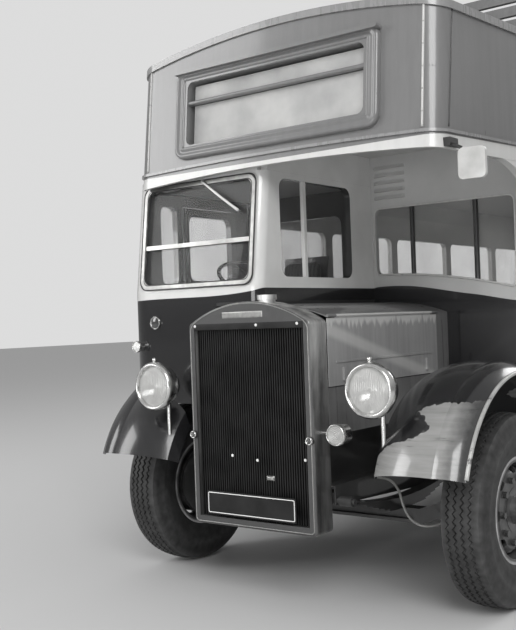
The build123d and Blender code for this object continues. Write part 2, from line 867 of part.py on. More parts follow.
# Rear bulkhead, between the saloon and the platform, with its doorway
door_half = 330
doorway_height = 1600
with BuildPart() as rear_bulkhead:
    add(lower_body(-wall - seat_gap, floor_top, canopy_height))
    add(upper_body(-wall - seat_gap, canopy_height, ceiling - seat_gap))
    with Locations((0, platform_y + wall / 2, 1500)):
        Box(3000, wall, 3000, mode=Mode.INTERSECT)
    with Locations((0, platform_y + wall / 2, floor_top + doorway_height / 2 - 50)):
        Box(2 * door_half, 3 * wall, doorway_height + 100, mode=Mode.SUBTRACT)
    with BuildSketch(Plane.XZ.offset(-platform_y + 100)):
        for side in (1, -1):
            with Locations((side * 760, window_middle)):
                RectangleRounded(560, window_height - 40, 60)
    extrude(amount=-300, mode=Mode.SUBTRACT)
rear_bulkhead.part.label = "rear_bulkhead"
export_step(rear_bulkhead.part, "parts/rear_bulkhead.step")

# Open rear platform with its riser and the step up to the saloon
with BuildPart() as rear_platform:
    add(lower_body(-wall - 1, back_low, platform_top))
    with Locations((0, platform_y + platform_depth / 2 + wall + 200, platform_top - 20)):
        Box(2 * body_width, platform_depth + 400 - 1, 200, mode=Mode.INTERSECT)
    with Locations((0, platform_y + wall + 20, (back_low + floor_top) / 2)):
        Box(2 * (half_body - wall - 40), 40, floor_top - back_low)
    with Locations((0, platform_y + wall + 150, (platform_top + floor_top) / 2 - 105)):
        Box(2 * door_half, 300, (floor_top - platform_top) / 2)
rear_platform.part.label = "rear_platform"
export_step(rear_platform.part, "parts/rear_platform.step")

# Floor of the upper deck, with the stairwell at the back on the offside
well_inner = -330
well_front = stair_y + 60
well_back = body_back - wall - 20
with BuildPart() as upper_floor:
    add(upper_body(-wall - seat_gap, deck_top - deck_thickness, deck_top))
    with Locations(((well_inner - 1120) / 2, (well_front + well_back) / 2, deck_top)):
        Box(1120 + well_inner, well_back - well_front, 300, mode=Mode.SUBTRACT)
    # Notch for the foot of the destination box
    with Locations((0, box_room - 200, deck_top)):
        Box(2 * blind_half + 10, 400, 300, mode=Mode.SUBTRACT)
upper_floor.part.label = "upper_floor"
export_step(upper_floor.part, "parts/upper_floor.step")

# Staircase: winding treads and risers round a newel post on the platform
newel_x = -430
newel_y = stair_y + 510
newel_radius = 26
tread_radius = 610
tread_count = 8
rise = (deck_top - platform_top) / (tread_count + 1)
first_turn = 40
tread_turn = 23
top_tread = platform_top + tread_count * rise
newel_foot = platform_top + seat_gap
with BuildPart() as staircase:
    with Locations((newel_x, newel_y, (newel_foot + top_tread) / 2)):
        Cylinder(newel_radius, top_tread - newel_foot)
    # The post's upper length, on a dowel joint above the top tread
    with Locations((newel_x, newel_y, (top_tread + ceiling) / 2)):
        Cylinder(newel_radius, ceiling - top_tread - 2 * seat_gap)
    for step in range(tread_count):
        start = first_turn + step * tread_turn
        height = platform_top + (step + 1) * rise
        foot = height - rise - (28 if step else 0)
        with BuildSketch(Plane.XY.offset(height - 28)):
            with BuildLine():
                edge = []
                for turn in (0, tread_turn / 2, tread_turn + 3):
                    angle = radians(start + turn)
                    edge.append((newel_x + tread_radius * cos(angle), newel_y + tread_radius * sin(angle)))
                Line((newel_x, newel_y), edge[0])
                ThreePointArc(edge[0], edge[1], edge[2])
                Line(edge[2], (newel_x, newel_y))
            make_face()
        extrude(amount=28)
        riser_plane = Plane(
            (newel_x, newel_y, max(foot, platform_top)),
            x_dir=(cos(radians(start)), sin(radians(start)), 0),
            z_dir=(0, 0, 1),
        )
        with BuildSketch(riser_plane):
            with Locations((tread_radius / 2, 9)):
                Rectangle(tread_radius - 4, 18)
        extrude(amount=height - 10 - max(foot, platform_top))
staircase.part.label = "staircase"
export_step(staircase.part, "parts/staircase.step")

# Front bulkhead of the lower saloon. Its nearside window looks out over the
# bonnet, its lower edge sweeping down. A second window is behind the driver.
bulkhead_low = floor_top - floor_thickness
view_left = -95
view_right = 885
view_top = 2256
view_corner = 48


def view_window(outward):
    """Outline of the window over the bonnet, moved out by a distance."""
    with BuildSketch(mode=Mode.PRIVATE) as view:
        with BuildLine():
            Line((view_left, 1816), (view_left, view_top))
            Line((view_left, view_top), (view_right, view_top))
            Line((view_right, view_top), (view_right, 1690))
            ThreePointArc((view_right, 1690), (480, 1774), (view_left, 1816))
        make_face()
        fillet(view.vertices(), view_corner)
        if outward:
            offset(amount=outward)
    return view.sketch


with BuildPart() as front_bulkhead:
    add(lower_body(-wall - seat_gap, bulkhead_low, canopy_height))
    add(upper_body(-wall - seat_gap, canopy_height, ceiling - seat_gap))
    with Locations((0, bulkhead_y + wall / 2, 1500)):
        Box(3000, wall, 3000, mode=Mode.INTERSECT)
    with BuildSketch(Plane.XZ.offset(-bulkhead_y + 50)):
        add(view_window(0))
        with Locations((-680, 2000)):
            RectangleRounded(640, 480, 60)
    extrude(amount=-200, mode=Mode.SUBTRACT)
front_bulkhead.part.label = "front_bulkhead"
export_step(front_bulkhead.part, "parts/front_bulkhead.step")

# Canopy: the fascia band that hangs below the upper deck over the bonnet,
# joined along the front to the roof of the driver's cab
cab_roof = 30
fascia = 30
fascia_end = -1000
canopy_low = canopy_height - cab_roof
roof_edge = cab_inner_x - wall
with BuildPart() as canopy:
    ring_low = fascia_crown - fascia_drop
    add(upper_body(0, ring_low, canopy_height) - upper_body(-fascia, ring_low, canopy_height))
    add(below_arch(fascia_crown, fascia_drop), mode=Mode.SUBTRACT)
    with Locations((fascia_end - 2000, 0, canopy_low - 100)):
        Box(4000, 2 * overall_length, 200, mode=Mode.SUBTRACT)
    roof = upper_body(0, canopy_low, canopy_height) + cab_body(0, canopy_low, canopy_height)
    roof_cut = Box(4000, 2 * overall_length, 200, mode=Mode.PRIVATE)
    add(roof - roof_cut.moved(Location((roof_edge + 2000, 0, canopy_height))))
    with Locations((0, bulkhead_y - 2000, canopy_height)):
        Box(2 * body_width, 4000, 400, mode=Mode.INTERSECT)
canopy.part.label = "canopy"
export_step(canopy.part, "parts/canopy.step")

# Driver's cab: front, inner side and outer side, each a wall thick
cab_shell = cab_body(0, skirt_height, canopy_low) - cab_body(-wall, skirt_height, canopy_low)
screen_slope = 700 / sqrt(700**2 + screen_lean**2)
screen_tilt = screen_lean / sqrt(700**2 + screen_lean**2)
screen_face = Plane((0, cab_y, 1740), x_dir=(1, 0, 0), z_dir=(0, -screen_slope, screen_tilt))
screen_left = -1010
screen_right = -178
screen_low = 1775
screen_high = 2374
screen_corner = 50
cab_corner_end = cab_y + cab_radius + 40
cab_inner_end = cab_y + 130
cab_shelf = 1655
with BuildPart() as cab_front:
    add(cab_shell)
    with Locations((-800, cab_corner_end - 1000, 1500)):
        Box(1600, 2000, 2200, mode=Mode.INTERSECT)
    with Locations((-800, cab_y, cab_floor_top - 30 - 500)):
        Box(2000, 2000, 1000, mode=Mode.SUBTRACT)
    with Locations((cab_inner_x, cab_inner_end + 500, canopy_low)):
        Box(4 * wall, 1000, 3000, mode=Mode.SUBTRACT)
    with Locations((0, cab_y, cab_shelf - 500)):
        Box(2 * (bonnet_half + 18), 800, 1000, mode=Mode.SUBTRACT)
    with BuildSketch(screen_face.offset(60)):
        with Locations(((screen_left + screen_right) / 2, (screen_low + screen_high) / 2 - 1740)):
            RectangleRounded(screen_right - screen_left, screen_high - screen_low, screen_corner)
    extrude(amount=-140, mode=Mode.SUBTRACT)
cab_front.part.label = "cab_front"
export_step(cab_front.part, "parts/cab_front.step")

side_window_front = cab_y + 232
side_window_back = cab_y + 1004
with BuildPart() as cab_inner_side:
    add(cab_shell)
    with Locations((-100, (cab_inner_end + bulkhead_y) / 2, 1500)):
        Box(400, bulkhead_y - cab_inner_end, 2200, mode=Mode.INTERSECT)
    with Locations((-100, cab_y, cab_shelf - 1000)):
        Box(400, 4000, 2000, mode=Mode.SUBTRACT)
    # The wall goes on up to the underside of the deck
    upstand_front = box_room
    with Locations((cab_inner_x - wall / 2, (upstand_front + bulkhead_y) / 2, (canopy_low + ceiling) / 2)):
        Box(wall, bulkhead_y - upstand_front - 2 * seat_gap, ceiling - canopy_low - 2 * seat_gap)
    with BuildSketch(Plane.YZ.offset(-400)):
        with Locations(((side_window_front + side_window_back) / 2, 2084)):
            RectangleRounded(side_window_back - side_window_front, 578, 60)
    extrude(amount=600, mode=Mode.SUBTRACT)
    # Bar down the middle of the side window
    with Locations((cab_inner_x - wall / 2, cab_y + 505, 2084)):
        Box(24, 26, 590)
cab_inner_side.part.label = "cab_inner_side"
export_step(cab_inner_side.part, "parts/cab_inner_side.step")

door_front = cab_y + 560
door_back = cab_y + 1140
door_low = 1140
door_high = 2330
door_play = 6
cab_arch = 560
hinge_y = door_back + 3
hinge_x = -half_body - 12
hinge_heights = (1300, 1700, 2150)
with BuildPart() as cab_outer_side:
    add(cab_shell)
    with Locations((-1100, (cab_corner_end + bulkhead_y) / 2, 1500)):
        Box(400, bulkhead_y - cab_corner_end, 2400, mode=Mode.INTERSECT)
    with Locations((-1150, (door_front + door_back) / 2, (door_low + door_high) / 2)):
        Box(300, door_back - door_front, door_high - door_low, mode=Mode.SUBTRACT)
    with Locations((-1150, front_axle_y, wheel_centre)):
        Cylinder(cab_arch, 300, rotation=(0, 90, 0), mode=Mode.SUBTRACT)
    with Locations((-1150, front_axle_y, wheel_centre / 2)):
        Box(300, 2 * cab_arch, wheel_centre, mode=Mode.SUBTRACT)
    with BuildSketch(Plane.YZ.offset(-1000)):
        with Locations(((cab_corner_end + door_front) / 2, 2060)):
            RectangleRounded(door_front - cab_corner_end - 110, 520, 50)
    extrude(amount=-400, mode=Mode.SUBTRACT)
    for height in hinge_heights:
        with Locations((hinge_x, hinge_y, height)):
            Cylinder(6, 120)
        for end in (1, -1):
            with Locations((hinge_x + 7, hinge_y + 8, height + end * 50)):
                Box(16, 26, 20)
cab_outer_side.part.label = "cab_outer_side"
export_step(cab_outer_side.part, "parts/cab_outer_side.step")

with BuildPart() as cab_door:
    add(cab_shell)
    with Locations((-1150, (door_front + door_back) / 2, (door_low + door_high) / 2)):
        Box(
            300,
            door_back - door_front - 2 * door_play,
            door_high - door_low - 2 * door_play,
            mode=Mode.INTERSECT,
        )
    with BuildSketch(Plane.YZ.offset(-1000)):
        with Locations(((door_front + door_back) / 2, 2050)):
            RectangleRounded(door_back - door_front - 130, 440, 50)
    extrude(amount=-400, mode=Mode.SUBTRACT)
    for height in hinge_heights:
        with Locations((hinge_x, hinge_y, height)):
            Cylinder(11, 70)
        with Locations((hinge_x + 6, hinge_y - 17, height)):
            Box(14, 20, 70)
        with Locations((hinge_x, hinge_y, height)):
            Cylinder(6 + pin_play, 80, mode=Mode.SUBTRACT)
cab_door.part.label = "cab_door"
export_step(cab_door.part, "parts/cab_door.step")

# Cab floor, stepped up over the side of the engine
engine_side = -430
with BuildPart() as cab_floor:
    add(cab_body(-wall - seat_gap, cab_floor_top - 30, cab_floor_top))
    with Locations((engine_side - 1000, bulkhead_y - 2000 - seat_gap, cab_floor_top)):
        Box(2000, 4000, 400, mode=Mode.INTERSECT)
    with BuildSketch(Plane.XZ.offset(-cab_y)):
        with BuildLine():
            Polyline(
                (engine_side - 20, cab_floor_top - 30),
                (engine_side - 20, cab_shelf - seat_gap),
                (cab_inner_x, cab_shelf - seat_gap),
                (cab_inner_x, cab_shelf - 20),
                (engine_side, cab_shelf - 20),
                (engine_side, cab_floor_top - 30),
                close=True,
            )
        make_face()
    extrude(amount=-(cab_length - seat_gap))
    with Locations((engine_side - 20, cab_y + wall / 2, 1400)):
        Box(40, wall + 2 * seat_gap, 1400, mode=Mode.SUBTRACT)
cab_floor.part.label = "cab_floor"
export_step(cab_floor.part, "parts/cab_floor.step")

# Radiator shell: a deep frame with an arched head and a filler cap
radiator_half = radiator_width / 2
radiator_back = radiator_face + radiator_depth
core_back = radiator_back - 20
cap_x = 90
with BuildPart() as radiator_shell:
    with BuildSketch(Plane.XZ.offset(-radiator_face)):
        with BuildLine():
            Polyline(
                (-radiator_half, radiator_shoulder),
                (-radiator_half, radiator_bottom),
                (radiator_half, radiator_bottom),
                (radiator_half, radiator_shoulder),
            )
            ThreePointArc(
                (radiator_half, radiator_shoulder),
                (0, radiator_crown),
                (-radiator_half, radiator_shoulder),
            )
        make_face()
    extrude(amount=-radiator_depth)
    rounded = radiator_shell.edges().filter_by(Axis.Y)
    fillet(rounded, 26)
    front_edges = radiator_shell.faces().sort_by(Axis.Y)[0].edges()
    fillet(front_edges, 14)
    with BuildSketch(Plane.XZ.offset(-radiator_face + 10)):
        with Locations((0, (radiator_bottom + radiator_shoulder) / 2 + 14)):
            Rectangle(radiator_width - 2 * radiator_rim, radiator_shoulder - radiator_bottom - 62)
    extrude(amount=-radiator_depth - 20, mode=Mode.SUBTRACT)
    with Locations((cap_x, radiator_face + 75, radiator_crown - 20)):
        Cylinder(46, 60)
    with Locations((cap_x, radiator_face + 75, radiator_crown + 18)):
        Cylinder(54, 26)
    for side in (1, -1):
        with Locations((side * (radiator_half - 20), radiator_face - 4, 920)):
            Cylinder(22, 20, rotation=(90, 0, 0))
radiator_shell.part.label = "radiator_shell"
export_step(radiator_shell.part, "parts/radiator_shell.step")

# Radiator grille: upright slats standing on the face of the core
slat_pitch = 15.4
slat_width = 6
slat_depth = 30
grille_width = radiator_width - 2 * radiator_rim - 2 * seat_gap
grille_height = radiator_shoulder - radiator_bottom - 62 - 2 * seat_gap
slat_count = int(grille_width // slat_pitch)
slat_face = radiator_face + 22
with BuildPart() as radiator_grille:
    middle_z = (radiator_bottom + radiator_shoulder) / 2 + 14
    with Locations((0, (slat_face + slat_depth + core_back) / 2, middle_z)):
        Box(grille_width, core_back - slat_face - slat_depth, grille_height)
    with Locations((0, slat_face + slat_depth / 2, middle_z)):
        with GridLocations(slat_pitch, 0, slat_count, 1):
            Box(slat_width, slat_depth, grille_height)
radiator_grille.part.label = "radiator_grille"
export_step(radiator_grille.part, "parts/radiator_grille.step")

# Blank number plate on two brackets in front of the slats
plate_half = 300
plate_low = 491
plate_high = 619
with BuildPart() as number_plate:
    with BuildSketch(Plane.XZ.offset(-front_y)):
        with Locations((0, (plate_low + plate_high) / 2)):
            RectangleRounded(2 * plate_half, plate_high - plate_low, 10)
    extrude(amount=-8)
    bracket_length = slat_face - front_y - 8 - seat_gap
    with Locations((0, front_y + 8 + bracket_length / 2, (plate_low + plate_high) / 2)):
        with GridLocations(12 * slat_pitch, 0, 3, 1):
            Box(30, bracket_length, 40)
number_plate.part.label = "number_plate"
export_step(number_plate.part, "parts/number_plate.step")


def bonnet_hoop(half, edge, crown, depth):
    """Face between a crowned arch and the same arch moved down by a depth."""
    with BuildSketch(Plane.XZ, mode=Mode.PRIVATE) as hoop:
        with BuildLine():
            ThreePointArc((-half, edge), (0, crown), (half, edge))
            Line((half, edge), (half, edge - depth))
            ThreePointArc((half, edge - depth), (0, crown - depth), (-half, edge - depth))
            Line((-half, edge - depth), (-half, edge))
        make_face()
    return hoop.sketch


# Bonnet top, fixed, with its offside skirt and the pin of the lid's hinge
bonnet_front = radiator_back + seat_gap
bonnet_length = bonnet_back - bonnet_front
bonnet_foot = 930
lid_hinge_x = bonnet_half + 9
hinge_end = 80
pin_radius = 4
lid_top = bonnet_edge - 12
lid_low = lid_top - lid_drop
with BuildPart() as bonnet_top:
    hoop = bonnet_hoop(bonnet_half, bonnet_edge, bonnet_crown, sheet)
    extrude(hoop.moved(Location((0, bonnet_front, 0))), amount=-bonnet_length)
    with Locations((-bonnet_half + sheet / 2, (bonnet_front + bonnet_back) / 2, 1320)):
        Box(sheet, bonnet_length, 2 * (bonnet_edge - 1320))
    with Locations((lid_hinge_x, (bonnet_front + bonnet_back) / 2, bonnet_edge)):
        Cylinder(pin_radius, bonnet_length, rotation=(90, 0, 0))
    for end in (bonnet_front + hinge_end / 2, bonnet_back - hinge_end / 2):
        with Locations((lid_hinge_x, end, bonnet_edge)):
            Cylinder(8, hinge_end, rotation=(90, 0, 0))
        with Locations((bonnet_half + 2, end, bonnet_edge - 3)):
            Box(14, hinge_end, 6)
    # Scuttle, between the bonnet and the bulkhead, and the sill below the lid
    scuttle_length = bulkhead_y - bonnet_back - seat_gap
    hoop = bonnet_hoop(bonnet_half, bonnet_edge, bonnet_crown, 26)
    extrude(hoop.moved(Location((0, bonnet_back, 0))), amount=-scuttle_length)
    for side in (1, -1):
        with Locations((side * (bonnet_half - 13), bonnet_back + scuttle_length / 2, 1240)):
            Box(26, scuttle_length, 2 * (bonnet_edge - 20 - 1240))
    sill_top = lid_low - play
    sill_back = bulkhead_y - seat_gap
    with Locations((bonnet_half - 2, (bonnet_front + sill_back) / 2, (sill_top + bonnet_foot) / 2)):
        Box(sheet, sill_back - bonnet_front, sill_top - bonnet_foot)
bonnet_top.part.label = "bonnet_top"
export_step(bonnet_top.part, "parts/bonnet_top.step")

# Bonnet side, the nearside lid that lifts on its top edge
barrel_length = bonnet_length - 2 * hinge_end - 2
with BuildPart() as bonnet_side:
    with Locations((lid_hinge_x, (bonnet_front + bonnet_back) / 2, bonnet_edge)):
        Cylinder(8, barrel_length, rotation=(90, 0, 0))
    with Locations((bonnet_half + 3, (bonnet_front + bonnet_back) / 2, (bonnet_edge + lid_low) / 2)):
        Box(sheet, barrel_length, bonnet_edge - lid_low)
    with Locations((bonnet_half + 3, (bonnet_front + bonnet_back) / 2, (lid_top + lid_low) / 2)):
        Box(sheet, bonnet_length - 2 * play, lid_top - lid_low)
    with Locations((lid_hinge_x, (bonnet_front + bonnet_back) / 2, bonnet_edge)):
        Cylinder(pin_radius + pin_play, bonnet_length, rotation=(90, 0, 0), mode=Mode.SUBTRACT)
    # Pressed stiffening bead and the two catches
    with Locations((bonnet_half + 6, (bonnet_front + bonnet_back) / 2, 1312)):
        Box(8, bonnet_length - 160, 12)
    with Locations((bonnet_half + 10, (bonnet_front + bonnet_back) / 2, lid_low + 60)):
        with GridLocations(0, bonnet_length - 300, 1, 2):
            Box(14, 24, 70)
bonnet_side.part.label = "bonnet_side"
export_step(bonnet_side.part, "parts/bonnet_side.step")

# Front wings: pressed sheet turned about the wheel, with a rolled outer edge.
# Columns: distance out from the centre line, radius from the wheel's axle
wing_crown = ((half_body - 12, 722), (1176, 752), (1060, 772), (860, 768), (702, 690))
wing_inner_edge = (668, 628)
bead = 9


def wing_outline(drop):
    """Cross-section of a wing from the outer bead to the inner edge."""
    lowered = [(x, radius - drop) for x, radius in wing_crown]
    with BuildLine(mode=Mode.PRIVATE) as line:
        ThreePointArc(lowered[0], lowered[1], lowered[2])
        ThreePointArc(lowered[2], lowered[3], lowered[4])
        Line(lowered[4], (wing_inner_edge[0], wing_inner_edge[1] - drop))
    return line.line


wing_sheet = 6
# Columns: side, lowest and highest angle round the wheel, in degrees
wing_spans = ((1, 6, 160), (-1, 112, 160))
wing_axle = Axis((0, front_axle_y, wheel_centre), (1, 0, 0))


def wing_plane(side, low_angle):
    """Plane across a wing at one angle round the wheel."""
    turn = radians(low_angle)
    return Plane(
        (0, front_axle_y, wheel_centre),
        x_dir=(side, 0, 0),
        z_dir=(0, -side * sin(turn), side * cos(turn)),
    )


with BuildPart() as front_wings:
    for side, low_angle, high_angle in wing_spans:
        with BuildSketch(wing_plane(side, low_angle)):
            with BuildLine():
                add(wing_outline(0))
                add(wing_outline(wing_sheet))
                Line(wing_crown[0], (wing_crown[0][0], wing_crown[0][1] - wing_sheet))
                Line(wing_inner_edge, (wing_inner_edge[0], wing_inner_edge[1] - wing_sheet))
            make_face()
            with Locations((wing_crown[0][0], wing_crown[0][1] - wing_sheet / 2)):
                Circle(bead)
        revolve(axis=wing_axle, revolution_arc=high_angle - low_angle)
    add(cab_body(seat_gap, skirt_height, canopy_low), mode=Mode.SUBTRACT)
front_wings.part.label = "front_wings"
export_step(front_wings.part, "parts/front_wings.step")

# Everything within the wings' outer faces, to trim what stands on them
with BuildPart(mode=Mode.PRIVATE) as wing_fill:
    for side, low_angle, high_angle in wing_spans:
        with BuildSketch(wing_plane(side, low_angle)):
            with BuildLine():
                add(wing_outline(-seat_gap))
                Line(wing_inner_edge, (wing_inner_edge[0], 300))
                Line((wing_inner_edge[0], 300), (wing_crown[0][0], 300))
                Line((wing_crown[0][0], 300), (wing_crown[0][0], wing_crown[0][1] + seat_gap))
                Line(wing_inner_edge, (wing_inner_edge[0], wing_inner_edge[1] + seat_gap))
            make_face()
        revolve(axis=wing_axle, revolution_arc=high_angle - low_angle)

# Headlamps: deep bowls on posts that stand on the wings, with domed lenses
lamp_x = 730
lamp_y = cab_y - 190
lamp_z = 1180
lens_radius = 124
post_y = cab_y - 112
fog_x = 528
fog_z = 952
with BuildPart() as headlamps:
    for side, name in ((1, "nearside"), (-1, "offside")):
        with BuildSketch(Plane((side * lamp_x, lamp_y, lamp_z), x_dir=(1, 0, 0), z_dir=(0, 0, 1))):
            with BuildLine():
                Polyline(
                    (0, 126),
                    (0, 120),
                    (lens_radius - 2, -30),
                    (lens_radius - 2, -50),
                    (lens_radius + 14, -50),
                    (lens_radius + 14, -24),
                    (lens_radius + 4, -20),
                )
                ThreePointArc((lens_radius + 4, -20), (100, 66), (0, 126))
            make_face()
        revolve(axis=Axis((side * lamp_x, lamp_y, lamp_z), (0, 1, 0)))
        with Locations((side * lamp_x, post_y, lamp_z - 190)):
            Cylinder(13, 240)
        with Locations((side * lamp_x, lamp_y - 34, lamp_z + lens_radius + 18)):
            Cylinder(9, 16)
    add(wing_fill.part, mode=Mode.SUBTRACT)
    for side in (1, -1):
        with Locations((side * lamp_x, post_y, 700)):
            Box(200, 400, 300, mode=Mode.SUBTRACT)

    # Small lamps: a side lamp and a reflector disc on the cab, a fog lamp on an
    # arm from the radiator, and two tail lamps
    with Locations((-1058, cab_y + 6, 1407)):
        Cylinder(30, 90, rotation=(90, 0, 0))
    with Locations((-918, cab_y + 10, 1551)):
        Cylinder(34, 40, rotation=(90, 0, 0))
    add(cab_body(seat_gap), mode=Mode.SUBTRACT)
    with Locations((fog_x, radiator_face + 70, fog_z)):
        Cylinder(52, 70, rotation=(90, 0, 0))
    arm_span = fog_x - radiator_half - seat_gap
    with Locations((radiator_half + seat_gap + arm_span / 2, radiator_face + 90, fog_z)):
        Cylinder(9, arm_span, rotation=(0, 90, 0))
    for lamp_side in (-1090, 300):
        with Locations((lamp_side, rear_y - moulding_proud - 25, 900)):
            Cylinder(34, 60, rotation=(90, 0, 0))
    back_block = Box(3000, 1200, 3000, mode=Mode.PRIVATE).moved(Location((0, rear_y, 1500)))
    add(lower_body(seat_gap, back_low) & back_block, mode=Mode.SUBTRACT)
headlamps.part.label = "headlamps"
export_step(headlamps.part, "parts/headlamps.step")

with BuildPart() as headlamp_lenses:
    for side in (1, -1):
        with BuildSketch(Plane((side * lamp_x, lamp_y, lamp_z), x_dir=(1, 0, 0), z_dir=(0, 0, 1))):
            with BuildLine():
                ThreePointArc((0, -64), (70, -60), (lens_radius - 2 - seat_gap, -44))
                Line((lens_radius - 2 - seat_gap, -44), (lens_radius - 2 - seat_gap, -38))
                Line((lens_radius - 2 - seat_gap, -38), (0, -56))
                Line((0, -56), (0, -64))
            make_face()
        revolve(axis=Axis((side * lamp_x, lamp_y, lamp_z), (0, 1, 0)))
headlamp_lenses.part.label = "headlamp_lenses"
export_step(headlamp_lenses.part, "parts/headlamp_lenses.step")

# Windscreen frame, proud of the cab's face, with its middle rail
frame_edge = 26
with BuildPart() as screen_frame:
    middle_x = (screen_left + screen_right) / 2
    middle_v = (screen_low + screen_high) / 2 - screen_foot
    with BuildSketch(screen_face.offset(14)):
        with Locations((middle_x, middle_v)):
            RectangleRounded(
                screen_right - screen_left + 2 * frame_edge - 8,
                screen_high - screen_low + 2 * frame_edge - 12,
                screen_corner + 16,
            )
            RectangleRounded(
                screen_right - screen_left - 16,
                screen_high - screen_low - 16,
                screen_corner - 8,
                mode=Mode.SUBTRACT,
            )
    extrude(amount=-14 + seat_gap)
    with BuildSketch(screen_face.offset(12)):
        with Locations((middle_x, 2012 - screen_foot + 2)):
            Rectangle(screen_right - screen_left - 10, 26)
    extrude(amount=-24)
screen_frame.part.label = "screen_frame"
export_step(screen_frame.part, "parts/screen_frame.step")

glass_thickness = 6
with BuildPart() as cab_glass:
    with BuildSketch(screen_face.offset(-12 - seat_gap)):
        with Locations((middle_x, middle_v)):
            RectangleRounded(
                screen_right - screen_left - 2 * seat_gap,
                screen_high - screen_low - 2 * seat_gap,
                screen_corner - seat_gap,
            )
    extrude(amount=-glass_thickness)
    with BuildSketch(Plane.YZ.offset(cab_inner_x - wall + 4)):
        with Locations(((side_window_front + side_window_back) / 2, 2084)):
            RectangleRounded(
                side_window_back - side_window_front - 2 * seat_gap,
                578 - 2 * seat_gap,
                60 - seat_gap,
            )
    extrude(amount=glass_thickness)
    with BuildSketch(Plane.YZ.offset(-half_body + wall / 2)):
        with Locations(((cab_corner_end + door_front) / 2, 2060)):
            RectangleRounded(
                door_front - cab_corner_end - 110 - 2 * seat_gap,
                520 - 2 * seat_gap,
                50 - seat_gap,
            )
    extrude(amount=glass_thickness)
cab_glass.part.label = "cab_glass"
export_step(cab_glass.part, "parts/cab_glass.step")

with BuildPart() as door_glass:
    with BuildSketch(Plane.YZ.offset(-half_body + wall / 2)):
        with Locations(((door_front + door_back) / 2, 2050)):
            RectangleRounded(
                door_back - door_front - 130 - 2 * seat_gap,
                440 - 2 * seat_gap,
                50 - seat_gap,
            )
    extrude(amount=glass_thickness)
door_glass.part.label = "door_glass"
export_step(door_glass.part, "parts/door_glass.step")

with BuildPart() as saloon_glass:
    for side in (1, -1):
        with BuildSketch(Plane.YZ.offset(side * (half_body - wall / 2) - glass_thickness / 2)):
            for bay in range(bay_count):
                with Locations((bulkhead_y + (bay + 0.5) * bay_pitch, window_middle)):
                    RectangleRounded(
                        bay_pitch - window_gap - 2 * seat_gap,
                        window_height - 2 * seat_gap,
                        60 - seat_gap,
                    )
        extrude(amount=glass_thickness)
    for side in (1, -1):
        with BuildSketch(Plane.XZ.offset(-platform_y - wall / 2)):
            with Locations((side * 760, window_middle)):
                RectangleRounded(560 - 2 * seat_gap, window_height - 40 - 2 * seat_gap, 60 - seat_gap)
        extrude(amount=-glass_thickness)
    with BuildSketch(Plane.XZ.offset(-body_back + wall / 2)):
        with Locations((back_window_x + 200, window_middle)):
            RectangleRounded(
                2 * back_window_half - 2 * seat_gap,
                window_height - 60 - 2 * seat_gap,
                70 - seat_gap,
            )
    extrude(amount=-glass_thickness)
    with BuildSketch(Plane.XZ.offset(-bulkhead_y - wall / 2)):
        with Locations((-680, 2000)):
            RectangleRounded(640 - 2 * seat_gap, 480 - 2 * seat_gap, 60 - seat_gap)
        add(view_window(-seat_gap))
    extrude(amount=-glass_thickness)
saloon_glass.part.label = "saloon_glass"
export_step(saloon_glass.part, "parts/saloon_glass.step")

# Destination box: a moulded frame, a case behind it and the bar between its rows
bar_z = 2857
blind_middle = (blind_low + blind_high) / 2 - canopy_height
with BuildPart() as destination_box:
    with BuildSketch(front_face.offset(26)):
        with Locations((0, (box_low + box_high) / 2 - canopy_height)):
            RectangleRounded(2 * box_half, box_high - box_low, 64)
        with Locations((0, blind_middle)):
            RectangleRounded(2 * blind_half - 8, blind_high - blind_low - 8, 46, mode=Mode.SUBTRACT)
    extrude(amount=-26 + seat_gap)
    with BuildSketch(front_face.offset(26)):
        with Locations((0, blind_middle)):
            RectangleRounded(2 * blind_half - 2 * seat_gap, blind_high - blind_low - 2 * seat_gap, 50)
            RectangleRounded(2 * blind_half - 20, blind_high - blind_low - 20, 40, mode=Mode.SUBTRACT)
    extrude(amount=-box_depth)
    with BuildSketch(front_face.offset(26 - box_depth)):
        with Locations((0, blind_middle)):
            RectangleRounded(2 * blind_half - 2 * seat_gap, blind_high - blind_low - 2 * seat_gap, 50)
    extrude(amount=-8)
    with BuildSketch(front_face.offset(10)):
        with Locations((0, bar_z - canopy_height)):
            Rectangle(2 * blind_half - 12, 18)
    extrude(amount=-30)
    # Eyebrow that keeps the rain off the glass
    with BuildSketch(front_face.offset(58)):
        with Locations((0, box_high - canopy_height - 16)):
            RectangleRounded(2 * box_half + 10, 22, 10)
    extrude(amount=-58 + seat_gap)
destination_box.part.label = "destination_box"
export_step(destination_box.part, "parts/destination_box.step")

# Plain blinds in the two rows of the box
with BuildPart() as blinds:
    for low, high in ((blind_low + 24, bar_z - 12), (bar_z + 12, blind_high - 24)):
        with BuildSketch(front_face.offset(-24)):
            with Locations((0, (low + high) / 2 - canopy_height)):
                Rectangle(2 * blind_half - 60, high - low)
        extrude(amount=-8)
blinds.part.label = "blinds"
export_step(blinds.part, "parts/blinds.step")

# Driving mirrors: a wide one on a cranked arm from the nearside front corner,
# and a narrow one on the pillar beside the driver
mirror_height = 150
mirror_thickness = 22
mirror_z = 2256
arm_radius = 9
